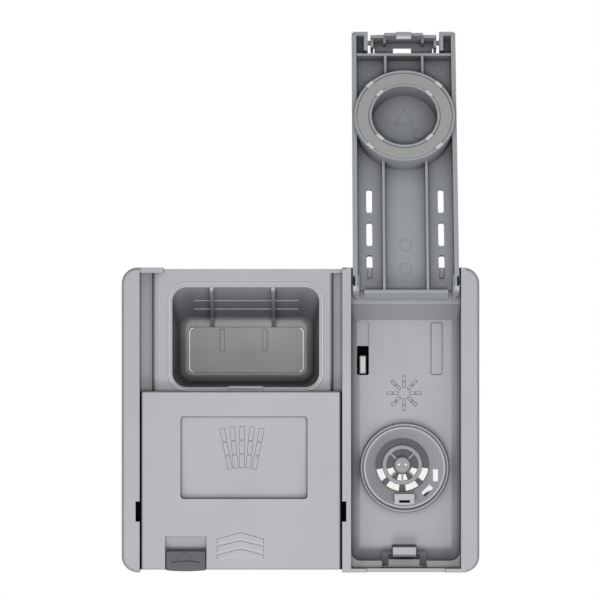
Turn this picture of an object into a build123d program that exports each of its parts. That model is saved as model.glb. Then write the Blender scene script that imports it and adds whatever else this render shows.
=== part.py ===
from build123d import *
import os
from math import cos, radians, sin

# Dishwasher detergent dispenser, lying on its back, with its powder cover slid open and its
# rinse-aid lid swung open past flat. X runs to the right across the front, Y up the door and
# Z out of the door towards the user. The origin is the middle of the door cut-out, on the
# plane where the gasket seats on the door liner. Millimetres and degrees.

# Front frame and its seat on the door
FACE_W = 176.0
FACE_H = 150.0
FACE_R = 8.0
FRAME_DEPTH = 14.0
WALL = 2.2
FRAME_EDGE_R = 1.4
GASKET_T = 2.0
GASKET_W = 2.2
SEAT_LAP = 5.0
SKIRT_DEPTH = 9.0
LINER_GAP = 1.2
SNAP_PROUD = 2.0
SNAP_W = 9.0

# Powder cover and the bay that it slides in
COVER_W = 97.8
COVER_H = 87.7
COVER_X = -29.3
COVER_TOP = 14.1
COVER_T = 2.2
COVER_TRAVEL = 57.0
COVER_SIDE_GAP = 0.9
COVER_END_GAP = 1.2
FOOT_STEP = 0.3
BAY_DEPTH = 7.0
CHANNEL_DEPTH = 10.5
LEFT_CHANNEL_W = 6.0
RIGHT_CHANNEL_W = 4.4
CHANNEL_R = 1.8
RAIL_W = 2.4
RAIL_H = 0.25
GROOVE_D = 2.0
RUNNER_T = 2.4
RUNNER_GAP = 0.3

# Dosing dish in the cover
DISH_W = 62.4
DISH_H = 40.6
DISH_X = -27.8
DISH_Y = -18.5
DISH_DEPTH = 3.2
DISH_SHALLOW = 1.4

# Detergent tub
TUB_W = 75.0
TUB_H = 52.2
TUB_X = -27.0
TUB_Y = 40.9
TUB_R = 8.2
TUB_DEPTH = 31.0
TUB_LIP = 0.8
TUB_LIP_W = 1.2
TUB_FLOOR_W = 66.4
TUB_FLOOR_H = 31.8
TUB_FLOOR_Y = 34.1
TUB_FLOOR_R = 4.0
TUB_FIN_W = 2.0

# Rinse-aid trough
TROUGH_W = 54.1
TROUGH_X = 51.9
TROUGH_DEPTH = 17.0
TROUGH_FOOT = -73.1
TROUGH_SIDE_R = 5.0
HINGE_FLOOR_DEPTH = 11.8
HINGE_FLOOR_Y = 57.0
HINGE_RAMP = 8.0
SHELF_DEPTH = 9.8
COVE_R = 7.2
COVE_Y = -62.5

# Filler in the trough
FILLER_X = 51.5
FILLER_Y = -24.0
FILLER_R = 22.2
FILLER_LIP = 1.6
FILLER_PROUD = 3.6
FILLER_LEDGE = 1.8
STRAINER_R = 14.4
STRAINER_T = 1.3

# Rinse-aid lid and its hinge
LID_W = 52.2
LID_L = 138.6
LID_T = 2.0
LID_SIDE_T = 2.3
LID_SIDE_H = 9.2
LID_RIB_T = 1.3
LID_RIB_H = 6.2
LID_TAIL = 6.1
LID_TAIL_H = 8.5
LID_LEAN = 24.5
PIVOT_Y = 66.1
PIVOT_DEPTH = 3.5
HINGE_PIN_R = 1.3
HINGE_FIT = 0.05
RING_Y = 89.0
RING_R = 25.2
RING_IN_R = 16.4
RING_WALL = 1.3
RING_H = 11.2

# Lid latch
LATCH_W = 33.2
LATCH_GAP = 1.4
LATCH_PIVOT_IN = 4.4
LATCH_PIVOT_UP = 4.5
LATCH_PIN_R = 1.2
LATCH_CUT_IN = 9.2
LATCH_NOSE_IN = 5.3

# Rinse-aid tank
TANK_W = 52.8
TANK_WALL = 1.8
TANK_TOP = 40.0
TANK_FOOT = -60.0
TANK_SHALLOW = 32.0
BACK_DEPTH = 51.0
TANK_SEAL_T = 1.5

# Dosing valve
VALVE_X = 30.9
VALVE_Y = 29.05
VALVE_SLOT_W = 6.0
VALVE_SLOT_H = 14.5
VALVE_BAR_W = 3.0
VALVE_BAR_H = 8.7
VALVE_TRAVEL = 2.0

# Release lever and actuator
LEVER_X = -66.0
LEVER_Y = -30.0
LEVER_T = 2.4
LEVER_PIN_R = 1.5
PIN_FIT = 0.05
PAWL_X = -71.3
PAWL_Y = -5.8
PAWL_W = 2.6
PAWL_H = 3.0
PLUNGER_R = 3.5
PLUNGER_Z = -3.3
PLUNGER_PIN_X = -62.3
PLUNGER_Y = -46.7
COIL_L = 26.0
COIL_R = 8.0
YOKE_T = 1.5
YOKE_X = -50.0

# Rear cover
REAR_W = 97.0
REAR_H = 74.0
REAR_X = -30.5
REAR_Y = -29.0
REAR_T = 1.8
SCREW_R = 1.4
SCREW_HEAD_R = 2.4

# Small features
TUB_FINS = (-44.0, -13.3)
TUB_BARS = (-39.1, -17.8)
TUB_BAR_Y = 38.9
TUB_PAD_IN = 4.6
TUB_TAB_W = 17.2
WINDOW_Y = -45.0
WINDOW_H = 9.9
PAWL_SWING = 3.3
LEVER_GAP = 0.3
REAR_SCREWS = ((-73.5, -60.5), (11.5, -60.5), (11.5, 2.5), (-73.5, 3.0))
REAR_JOINT_Z = -10.0
PANEL_RIBS = (-42.0, -10.0)
STRIKE_X = 51.3
STRIKE_Y = -63.6
STRIKE_W = 11.5
STRIKE_LIP = 4.2
BLANK_X = 67.4
BLANK_Y = 35.0
BLANK_W = 6.1
BLANK_H = 26.2
SNAPS = (
    (0, 1, -55.0), (0, 1, 0.0), (0, -1, -55.0), (0, -1, 0.0),
    (1, 0, -35.0), (1, 0, 35.0), (-1, 0, -35.0), (-1, 0, 35.0),
)
DISH_T = 1.6
COVER_SKIRT_T = 1.8
CATCH_X = -56.4
CATCH_BAY_W = 20.3
CATCH_GAP = 0.4
CATCH_TRAVEL = 1.4
SHELF_T = 1.2
SPRING_WIRE = 0.5
DRIVE_SPRING_X = 18.3
DRIVE_SPRING_L = 24.0
DRIVE_SPRING_R = 1.25
TANK_SCREWS = ((31.0, 43.6), (73.0, 43.6), (31.0, -63.4), (73.0, -63.4))
TANK_LUG_Z = -8.0
GRILLE_X = -1.0
GRILLE_Y = 1.2
GRILLE_R = 13.3
FLOAT_R = 8.0
FLOAT_H = 9.6
FLOAT_Y = -45.0

# Levels and edges that follow from the sizes above
FACE_Z = GASKET_T + FRAME_DEPTH
PANEL_Z = FACE_Z - BAY_DEPTH
CHANNEL_Z = FACE_Z - CHANNEL_DEPTH
CHANNEL_BACK = CHANNEL_Z - WALL
PANEL_BACK = PANEL_Z - WALL
TUB_LIP_Z = PANEL_Z + TUB_LIP
TUB_FLOOR_Z = TUB_LIP_Z - TUB_DEPTH
TROUGH_Z = FACE_Z - TROUGH_DEPTH
TROUGH_BACK = TROUGH_Z - WALL
BAY_W = COVER_W + 2 * COVER_SIDE_GAP
BAY_LEFT = COVER_X - BAY_W / 2
BAY_RIGHT = COVER_X + BAY_W / 2
COVER_LEFT = COVER_X - COVER_W / 2
COVER_FOOT = COVER_TOP - COVER_H
COVER_MID = (COVER_TOP + COVER_FOOT) / 2
COVER_BACK = FACE_Z - COVER_T
TROUGH_LEFT = TROUGH_X - TROUGH_W / 2
TROUGH_RIGHT = TROUGH_X + TROUGH_W / 2
PIVOT_Z = FACE_Z - PIVOT_DEPTH
SKIRT_W = FACE_W - 2 * SEAT_LAP
SKIRT_H = FACE_H - 2 * SEAT_LAP
SKIRT_R = FACE_R - 2.0
TANK_ROOF = TROUGH_BACK - TANK_SEAL_T
CHANNEL_HEAD = COVER_TOP + COVER_TRAVEL + COVER_END_GAP
BAY_RUN = (-FACE_H / 2 + WALL / 2, FACE_H / 2 - WALL / 2)
LID_SIDE_GAP = (TROUGH_W - LID_W) / 2
LEVER_TOP = CHANNEL_BACK - LEVER_GAP
TUB_HEAD = TUB_Y + TUB_H / 2
TUB_FOOT = TUB_Y - TUB_H / 2
TUB_FLOOR_HEAD = TUB_FLOOR_Y + TUB_FLOOR_H / 2
SKIRT_FOOT_Z = PANEL_Z + RAIL_H + 0.35
END_SKIRT_Z = TUB_LIP_Z + 1.1
RUNNER_Z = (PANEL_Z + 0.8, PANEL_Z + 0.8 + RUNNER_T)
GROOVE_Z = (RUNNER_Z[0] - RUNNER_GAP, RUNNER_Z[1] + RUNNER_GAP)
RUNNER_PROUD = COVER_SIDE_GAP + GROOVE_D - 0.5
RUNNERS = ((COVER_TOP - 13.0, COVER_TOP - 1.0), (COVER_FOOT + 3.5, COVER_FOOT + 17.5))
CATCH_TOP = COVER_FOOT + 9.3
CATCH_FOOT = COVER_FOOT - 0.3
SCOOP_TOP = CATCH_TOP + 7.2
SHELF_Z = SKIRT_FOOT_Z + SHELF_T
CATCH_SKIRT_Z = SHELF_Z + CATCH_TRAVEL + 0.1
CATCH_W = CATCH_BAY_W - 2 * CATCH_GAP
LUG_X = (PAWL_X - 1.5, PAWL_X + 1.5)
LUG_Y = (PAWL_Y + PAWL_H / 2 + 0.3 - COVER_TRAVEL, PAWL_Y + PAWL_H / 2 + 3.3 - COVER_TRAVEL)
POCKET_Z = FACE_Z - 12.4
STRIKE_Z = POCKET_Z + 2.7
REAR_BACK_Z = -BACK_DEPTH
DRIVE_SPRING_FOOT = COVER_FOOT + 4.5
DRIVE_SPRING_Z = CHANNEL_Z + 1.9
LID_PLANE = Plane(
    origin=(TROUGH_X, PIVOT_Y, PIVOT_Z),
    x_dir=(1, 0, 0),
    z_dir=(0, sin(radians(LID_LEAN)), cos(radians(LID_LEAN))),
)
LID_SKIN_Z = -PIVOT_DEPTH
LID_FLOOR_Z = LID_SKIN_Z + LID_T
LID_WALL_Z = LID_SKIN_Z + LID_SIDE_H
LID_RIB_Z = LID_FLOOR_Z + LID_RIB_H
RING_TOP_Z = LID_FLOOR_Z + RING_H
SEAL_FOOT_Z = RING_TOP_Z - 4.0
LATCH_PIVOT = LID_L - LATCH_PIVOT_IN
LATCH_CUT_Y = LID_L - LATCH_CUT_IN
LATCH_NOSE_Y = LID_L - LATCH_NOSE_IN
LATCH_PIVOT_Z = LID_SKIN_Z + LATCH_PIVOT_UP
LATCH_CUT_W = LATCH_W + 2 * LATCH_GAP
LEVER_FOOT = LEVER_TOP - LEVER_T
YOKE_END = YOKE_X + 2 * YOKE_T + COIL_L + 0.5
TANK_LEFT = TROUGH_X - TANK_W / 2
TANK_RIGHT = TROUGH_X + TANK_W / 2
VALVE_STEM_Y = VALVE_Y - VALVE_SLOT_H / 2 + 0.8 + VALVE_BAR_H / 2
WELL_FOOT = TANK_ROOF - 17.3
STRAINER_TOP = TROUGH_Z - 2.6
FLOAT_X = TANK_RIGHT - TANK_WALL - FLOAT_R - 0.6
TANK_FLOOR = TANK_WALL - BACK_DEPTH
FILLER_SIDE = Plane(origin=(FILLER_X, FILLER_Y, 0), x_dir=(1, 0, 0), z_dir=(0, -1, 0))
FILLER_AXIS = Axis((FILLER_X, FILLER_Y, 0), (0, 0, 1))
PAST = 1.0


def side_plane(x):
    """A plane across X at x, whose first axis is the part's Y and whose second is its Z."""
    return Plane(origin=(x, 0, 0), x_dir=(0, 1, 0), z_dir=(1, 0, 0))


def block(x, y, z, mode=Mode.ADD, frame=Plane.XY):
    """Adds to the open part, or cuts from it, a box from three (low, high) pairs along a frame."""
    middle = [(low + high) / 2 for low, high in (x, y, z)]
    with Locations(frame.location * Pos(*middle)):
        Box(*[high - low for low, high in (x, y, z)], mode=mode)


def coil_spring(base, radius, wire, length, turns):
    """A round-wire compression spring that stands on the plane base."""
    with BuildPart() as spring:
        with BuildLine() as path:
            Helix(pitch=length / turns, height=length, radius=radius)
        with BuildSketch(Plane(origin=path.line @ 0, z_dir=path.line % 0)):
            Circle(wire / 2)
        sweep(is_frenet=True)
    return base.location * spring.part


def save(solid, name):
    """Labels a finished piece and writes it to its own file."""
    solid.label = name
    export_step(solid, f"parts/{name}.step")


os.makedirs("parts", exist_ok=True)

# Tub: the space that the powder fills. Its upper wall slopes, so that powder slides out.
with BuildPart() as tub_space:
    with BuildSketch(Plane.XY.offset(TUB_LIP_Z + PAST)):
        with Locations((TUB_X, TUB_Y)):
            RectangleRounded(TUB_W - 2 * TUB_LIP_W, TUB_H - 2 * TUB_LIP_W, TUB_R - TUB_LIP_W)
    with BuildSketch(Plane.XY.offset(TUB_FLOOR_Z)):
        with Locations((TUB_X, TUB_FLOOR_Y)):
            RectangleRounded(TUB_FLOOR_W, TUB_FLOOR_H, TUB_R - TUB_LIP_W)
    loft()
    fillet(tub_space.faces().sort_by(Axis.Z)[0].edges(), TUB_FLOOR_R)

# Trough: the space under the rinse-aid lid, deepest in the middle, with a raised floor under
# the hinge and a cove up to a shelf at its foot.
with BuildPart() as trough_space:
    with BuildSketch(side_plane(TROUGH_LEFT)) as trough_profile:
        with BuildLine():
            Polyline(
                (FACE_H / 2 + PAST, FACE_Z + PAST),
                (FACE_H / 2 + PAST, FACE_Z - HINGE_FLOOR_DEPTH),
                (HINGE_FLOOR_Y, FACE_Z - HINGE_FLOOR_DEPTH),
                (HINGE_FLOOR_Y - HINGE_RAMP, TROUGH_Z),
                (COVE_Y, TROUGH_Z),
            )
            cove = CenterArc((COVE_Y, TROUGH_Z + COVE_R), COVE_R, 180, 90)
            Polyline(
                cove @ 0,
                (TROUGH_FOOT, FACE_Z - SHELF_DEPTH),
                (TROUGH_FOOT, FACE_Z + PAST),
                (FACE_H / 2 + PAST, FACE_Z + PAST),
            )
        make_face()
    extrude(amount=TROUGH_W)
    floor_sides = (
        trough_space.edges()
        .filter_by(Axis.Y)
        .filter_by_position(Axis.Z, TROUGH_Z - 0.1, TROUGH_Z + 0.1)
    )
    fillet(floor_sides, TROUGH_SIDE_R)

# Bay: the space that the cover and its runners slide in. A rounded rail guides it on the left.
with BuildPart() as bay_space:
    with BuildSketch(Plane.XZ.offset(-CHANNEL_HEAD)) as bay_profile:
        rail_left = BAY_LEFT + LEFT_CHANNEL_W
        right_edge = BAY_RIGHT - RIGHT_CHANNEL_W
        with BuildLine():
            Polyline(
                (BAY_LEFT, FACE_Z + PAST),
                (BAY_LEFT, CHANNEL_Z),
                (rail_left, CHANNEL_Z),
                (rail_left, PANEL_Z + RAIL_H),
                (rail_left + RAIL_W, PANEL_Z + RAIL_H),
                (rail_left + RAIL_W, PANEL_Z),
                (right_edge, PANEL_Z),
                (right_edge, CHANNEL_Z),
                (BAY_RIGHT, CHANNEL_Z),
                (BAY_RIGHT, FACE_Z + PAST),
                close=True,
            )
        make_face()
        shoulders = bay_profile.vertices().filter_by_position(Axis.X, rail_left - 0.1, rail_left + 0.1)
        fillet(shoulders.sort_by(Axis.Y)[-1], CHANNEL_R)
        shoulders = bay_profile.vertices().filter_by_position(Axis.X, right_edge - 0.1, right_edge + 0.1)
        fillet(shoulders.sort_by(Axis.Y)[-1], CHANNEL_R)
    extrude(amount=CHANNEL_HEAD - COVER_FOOT)
    block((BAY_LEFT, BAY_RIGHT), (-FACE_H, FACE_H), (PANEL_Z + RAIL_H, FACE_Z + PAST))
    block((BAY_LEFT + LEFT_CHANNEL_W + RAIL_W, BAY_RIGHT), (-FACE_H, FACE_H), (PANEL_Z, FACE_Z + PAST))

with BuildPart() as housing:
    # Front frame, open to the back
    with BuildSketch(Plane.XY.offset(GASKET_T)):
        RectangleRounded(FACE_W, FACE_H, FACE_R)
    extrude(amount=FRAME_DEPTH)
    fillet(housing.faces().sort_by(Axis.Z)[-1].edges(), FRAME_EDGE_R)
    with BuildSketch(Plane.XY.offset(GASKET_T)):
        RectangleRounded(FACE_W - 2 * WALL, FACE_H - 2 * WALL, FACE_R - WALL)
    extrude(amount=FRAME_DEPTH - WALL, mode=Mode.SUBTRACT)

    # Seat for the gasket, and the skirt that goes through the door cut-out
    with BuildSketch(Plane.XY.offset(GASKET_T)):
        RectangleRounded(FACE_W - WALL, FACE_H - WALL, FACE_R - WALL / 2)
        RectangleRounded(SKIRT_W - WALL, SKIRT_H - WALL, SKIRT_R, mode=Mode.SUBTRACT)
    extrude(amount=WALL)
    with BuildSketch(Plane.XY.offset(-SKIRT_DEPTH)):
        RectangleRounded(SKIRT_W, SKIRT_H, SKIRT_R)
        RectangleRounded(SKIRT_W - 2 * WALL, SKIRT_H - 2 * WALL, SKIRT_R - WALL, mode=Mode.SUBTRACT)
    extrude(amount=SKIRT_DEPTH + GASKET_T + WALL)

    # Bay: a panel under the cover, with a running channel down each side
    block((BAY_LEFT - GROOVE_D - WALL, BAY_RIGHT + GROOVE_D), BAY_RUN, (PANEL_BACK, FACE_Z - WALL))
    block((BAY_LEFT - WALL, BAY_LEFT + LEFT_CHANNEL_W + WALL), BAY_RUN, (CHANNEL_BACK, PANEL_Z))
    block((BAY_RIGHT - RIGHT_CHANNEL_W - WALL, BAY_RIGHT + WALL), BAY_RUN, (CHANNEL_BACK, PANEL_Z))
    add(bay_space.part, mode=Mode.SUBTRACT)

    # End stop over the left channel, and the frame's foot and head cut back along the bay
    stop = (BAY_LEFT - 0.5, BAY_LEFT + LEFT_CHANNEL_W + RAIL_W + 3.0)
    block(stop, (CHANNEL_HEAD, FACE_H / 2), (PANEL_BACK, FACE_Z - 2.0))
    block((stop[1], BAY_RIGHT), (FACE_H / 2 - 0.7, FACE_H), (GASKET_T, FACE_Z + PAST), mode=Mode.SUBTRACT)
    block((BAY_LEFT, BAY_RIGHT), (-FACE_H, COVER_FOOT - FOOT_STEP), (GASKET_T, FACE_Z + PAST), mode=Mode.SUBTRACT)

    # Tub wall and trough wall, then the spaces inside them
    with BuildSketch(Plane.XY.offset(TUB_LIP_Z)):
        with Locations((TUB_X, TUB_Y)):
            RectangleRounded(TUB_W, TUB_H, TUB_R)
    with BuildSketch(Plane.XY.offset(TUB_FLOOR_Z - WALL)):
        with Locations((TUB_X, TUB_FLOOR_Y)):
            RectangleRounded(TUB_FLOOR_W + WALL, TUB_FLOOR_H + WALL, TUB_R)
    loft()
    with BuildSketch(side_plane(TROUGH_LEFT - WALL)):
        add(trough_profile.sketch_local)
        offset(amount=WALL, kind=Kind.INTERSECTION)
    extrude(amount=TROUGH_W + 2 * WALL)
    block((BAY_RIGHT, TROUGH_LEFT), (-FACE_H / 2, FACE_H / 2 - 0.7), (PANEL_BACK, FACE_Z))
    add(tub_space.part, mode=Mode.SUBTRACT)
    add(trough_space.part, mode=Mode.SUBTRACT)

    # Nothing stands out past the frame, or behind the gasket's seat past the skirt
    with BuildSketch(Plane.XY.offset(GASKET_T)):
        Rectangle(2 * FACE_W, 2 * FACE_H)
        RectangleRounded(FACE_W, FACE_H, FACE_R, mode=Mode.SUBTRACT)
    extrude(amount=FRAME_DEPTH, mode=Mode.SUBTRACT)
    with BuildSketch(Plane.XY.offset(-SKIRT_DEPTH)):
        Rectangle(2 * FACE_W, 2 * FACE_H)
        RectangleRounded(SKIRT_W, SKIRT_H, SKIRT_R, mode=Mode.SUBTRACT)
    extrude(amount=SKIRT_DEPTH + GASKET_T, mode=Mode.SUBTRACT)
    block((-FACE_W, FACE_W), (-FACE_H, FACE_H), (FACE_Z, FACE_Z + 5 * PAST), mode=Mode.SUBTRACT)

    # Tub details: sloping fins, bars and a raised pad on the floor, and the tab on the lip
    for fin_x in TUB_FINS:
        with BuildSketch(side_plane(fin_x - TUB_FIN_W / 2)):
            with BuildLine():
                Polyline(
                    (TUB_HEAD - 1.9, TUB_LIP_Z - 2.4),
                    (TUB_HEAD - 3.0, TUB_LIP_Z - 2.4),
                    (TUB_FLOOR_HEAD + 5.5, TUB_FLOOR_Z + 9.0),
                    (TUB_FLOOR_HEAD - 4.4, TUB_FLOOR_Z + 0.6),
                    (TUB_FLOOR_HEAD - 4.4, TUB_FLOOR_Z - WALL / 2),
                    (TUB_FLOOR_HEAD + 0.5, TUB_FLOOR_Z - WALL / 2),
                    close=True,
                )
            make_face()
        extrude(amount=TUB_FIN_W)
    for bar_x in TUB_BARS:
        block((bar_x - 1.0, bar_x + 1.0), (TUB_BAR_Y - 5.3, TUB_BAR_Y + 5.3), (TUB_FLOOR_Z - 1.0, TUB_FLOOR_Z + 1.2))
    with BuildSketch(Plane.XY.offset(TUB_FLOOR_Z - 0.5)):
        with Locations((TUB_X, TUB_FLOOR_Y)):
            RectangleRounded(TUB_FLOOR_W - 2 * TUB_PAD_IN, TUB_FLOOR_H - 2 * TUB_PAD_IN, 2.0)
    extrude(amount=0.9)
    block((TUB_X - TUB_TAB_W / 2, TUB_X + TUB_TAB_W / 2), (TUB_FOOT + 0.4, TUB_FOOT + 1.8), (PANEL_Z - 0.5, TUB_LIP_Z + 0.5))

    # Grooves for the cover's runners, and the windows that they are put in through
    for low, high in ((BAY_LEFT - GROOVE_D, BAY_LEFT), (BAY_RIGHT, BAY_RIGHT + GROOVE_D)):
        block((low, high), (COVER_FOOT, CHANNEL_HEAD), GROOVE_Z, mode=Mode.SUBTRACT)
        window = (WINDOW_Y - WINDOW_H / 2, WINDOW_Y + WINDOW_H / 2)
        block((low, high), window, (GROOVE_Z[0], FACE_Z + PAST), mode=Mode.SUBTRACT)

    # Slot that the pawl stands up through, and the boss for the lever pin
    pawl_slot_x = (PAWL_X - PAWL_SWING - PAWL_W / 2 - 0.7, PAWL_X + PAWL_W / 2 + 0.7)
    pawl_slot_y = (PAWL_Y - PAWL_H / 2 - 1.7, PAWL_Y + PAWL_H / 2 + 0.9)
    block(pawl_slot_x, pawl_slot_y, (CHANNEL_BACK - PAST, PANEL_Z + PAST), mode=Mode.SUBTRACT)
    with BuildSketch(Plane.XY.offset(LEVER_TOP + 0.2)):
        with Locations((LEVER_X, LEVER_Y)):
            Circle(2 * LEVER_PIN_R)
            Circle(LEVER_PIN_R + PIN_FIT, mode=Mode.SUBTRACT)
    extrude(amount=PANEL_BACK - LEVER_TOP - 0.2)

    # Bosses for the rear cover's screws
    for boss_x, boss_y in REAR_SCREWS:
        with BuildSketch(Plane.XY.offset(REAR_JOINT_Z)):
            with Locations((boss_x, boss_y)):
                Circle(SCREW_R + 2.0)
                Circle(SCREW_R + PIN_FIT, mode=Mode.SUBTRACT)
        extrude(amount=(CHANNEL_BACK if boss_x < REAR_X else PANEL_BACK) - REAR_JOINT_Z)

    # Bosses for the tank's screws, and the post that the drive spring pulls on
    for boss_x, boss_y in TANK_SCREWS:
        with BuildSketch(Plane.XY.offset(TANK_LUG_Z)):
            with Locations((boss_x, boss_y)):
                Circle(SCREW_R + 1.6)
        extrude(amount=TROUGH_BACK + 0.4 - TANK_LUG_Z)
        with BuildSketch(Plane.XY.offset(TANK_LUG_Z)):
            with Locations((boss_x, boss_y)):
                Circle(SCREW_R + PIN_FIT)
        extrude(amount=TROUGH_BACK - 0.4 - TANK_LUG_Z, mode=Mode.SUBTRACT)
    post_y = (DRIVE_SPRING_FOOT - 2.2, DRIVE_SPRING_FOOT)
    block((DRIVE_SPRING_X - 1.0, DRIVE_SPRING_X + 1.0), post_y, (CHANNEL_BACK + 1.0, PANEL_Z + RAIL_H))

    # Stiffening ribs behind the panel
    for rib_x in PANEL_RIBS:
        block((rib_x - 0.8, rib_x + 0.8), (LEVER_Y, TUB_FOOT - 1.0), (CHANNEL_BACK + 1.0, PANEL_BACK))

    # Hinge pins for the lid
    pin_length = LID_SIDE_GAP + LID_SIDE_T
    for wall_x, reach in ((TROUGH_LEFT, pin_length), (TROUGH_RIGHT, -pin_length)):
        with BuildSketch(side_plane(wall_x)):
            with Locations((PIVOT_Y, PIVOT_Z)):
                Circle(HINGE_PIN_R)
        extrude(amount=reach)

    # Strike that the lid latch hooks under, its pocket, and the low stretch of the foot wall
    block((STRIKE_X - 11.1, STRIKE_X + 11.1), (TROUGH_FOOT, STRIKE_Y - 1.5), (POCKET_Z, FACE_Z), mode=Mode.SUBTRACT)
    with BuildSketch(side_plane(STRIKE_X - STRIKE_W / 2)):
        with BuildLine():
            Polyline(
                (STRIKE_Y + 1.6, TROUGH_Z - WALL / 2),
                (STRIKE_Y + 0.6, STRIKE_Z + 1.6),
                (STRIKE_Y - STRIKE_LIP + 1.2, STRIKE_Z + 1.6),
                (STRIKE_Y - STRIKE_LIP, STRIKE_Z + 0.6),
                (STRIKE_Y - STRIKE_LIP, STRIKE_Z),
                (STRIKE_Y - 0.9, STRIKE_Z),
                (STRIKE_Y - 0.9, TROUGH_Z - WALL / 2),
                close=True,
            )
        make_face()
    extrude(amount=STRIKE_W)
    block((TROUGH_X - 19.5, TROUGH_X + 19.5), (-FACE_H / 2 - PAST, TROUGH_FOOT + PAST), (FACE_Z - 3.0, FACE_Z + PAST),
          mode=Mode.SUBTRACT)

    # Outlet slot for the rinse aid, the recess above it, and the blank outline beside it
    with BuildSketch(Plane.XY.offset(TROUGH_BACK - PAST)):
        with Locations((VALVE_X, VALVE_Y)):
            RectangleRounded(VALVE_SLOT_W, VALVE_SLOT_H, 1.1)
    extrude(amount=WALL + 2 * PAST, mode=Mode.SUBTRACT)
    with BuildSketch(Plane.XY.offset(TROUGH_Z - 0.5)):
        with Locations((VALVE_X, VALVE_Y + VALVE_SLOT_H / 2 + 5.0)):
            RectangleRounded(VALVE_SLOT_W, 13.9, 1.0)
    extrude(amount=PAST, mode=Mode.SUBTRACT)
    with BuildSketch(Plane.XY.offset(TROUGH_Z - 0.4)):
        with Locations((BLANK_X, BLANK_Y)):
            RectangleRounded(BLANK_W, BLANK_H, 1.1)
            RectangleRounded(BLANK_W - 1.0, BLANK_H - 1.0, 0.6, mode=Mode.SUBTRACT)
    extrude(amount=PAST, mode=Mode.SUBTRACT)

    # Filler: a round hole with a raised lip that the lid's seal shuts on
    with BuildSketch(FILLER_SIDE):
        with BuildLine():
            Polyline(
                (FILLER_R - FILLER_LIP, TROUGH_Z - WALL / 2),
                (FILLER_R, TROUGH_Z - WALL / 2),
                (FILLER_R, TROUGH_Z + FILLER_PROUD - FILLER_LIP / 2),
            )
            CenterArc((FILLER_R - FILLER_LIP / 2, TROUGH_Z + FILLER_PROUD - FILLER_LIP / 2), FILLER_LIP / 2, 0, 180)
            Line(
                (FILLER_R - FILLER_LIP, TROUGH_Z + FILLER_PROUD - FILLER_LIP / 2),
                (FILLER_R - FILLER_LIP, TROUGH_Z - WALL / 2),
            )
        make_face()
    revolve(axis=FILLER_AXIS)
    with BuildSketch(Plane.XY.offset(TROUGH_BACK - PAST)):
        with Locations((FILLER_X, FILLER_Y)):
            Circle(FILLER_R - FILLER_LIP - FILLER_LEDGE)
    extrude(amount=WALL + 2 * PAST, mode=Mode.SUBTRACT)

    # Snap hooks that hold the skirt behind the edge of the door cut-out
    for out_x, out_y, along in SNAPS:
        hook_plane = Plane(
            origin=(out_x * SKIRT_W / 2 + abs(out_y) * along, out_y * SKIRT_H / 2 + abs(out_x) * along, 0),
            x_dir=(out_x, out_y, 0),
            z_dir=(out_y, -out_x, 0),
        )
        with BuildSketch(hook_plane):
            with BuildLine():
                Polyline(
                    (-WALL / 2, -LINER_GAP),
                    (SNAP_PROUD - 0.3, -LINER_GAP),
                    (SNAP_PROUD, -LINER_GAP - 0.6),
                    (0.0, 1.5 - SKIRT_DEPTH),
                    (-WALL / 2, 1.5 - SKIRT_DEPTH),
                    close=True,
                )
            make_face()
        extrude(amount=SNAP_W / 2, both=True)

save(housing.part, "housing")

# Door gasket: a flat rubber frame round the skirt
with BuildPart() as door_gasket:
    with BuildSketch():
        RectangleRounded(FACE_W - 1.4, FACE_H - 1.4, FACE_R - 0.7)
        RectangleRounded(FACE_W - 1.4 - 2 * GASKET_W, FACE_H - 1.4 - 2 * GASKET_W, FACE_R - 0.7 - GASKET_W / 2,
                         mode=Mode.SUBTRACT)
    extrude(amount=GASKET_T)
save(door_gasket.part, "door_gasket")

# Powder cover: a shallow tray upside down, with the dosing dish sunk in it
with BuildPart() as dish_space:
    with BuildSketch(side_plane(DISH_X - DISH_W / 2)):
        with BuildLine():
            Polyline(
                (DISH_Y + DISH_H / 2, FACE_Z + PAST),
                (DISH_Y + DISH_H / 2, FACE_Z - DISH_SHALLOW),
                (DISH_Y - DISH_H / 2, FACE_Z - DISH_DEPTH),
                (DISH_Y - DISH_H / 2, FACE_Z + PAST),
                close=True,
            )
        make_face()
    extrude(amount=DISH_W)
    fillet(dish_space.edges().filter_by(Axis.Z), 1.6)
    fillet(dish_space.faces().sort_by(Axis.Z)[0].edges(), 1.0)

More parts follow.
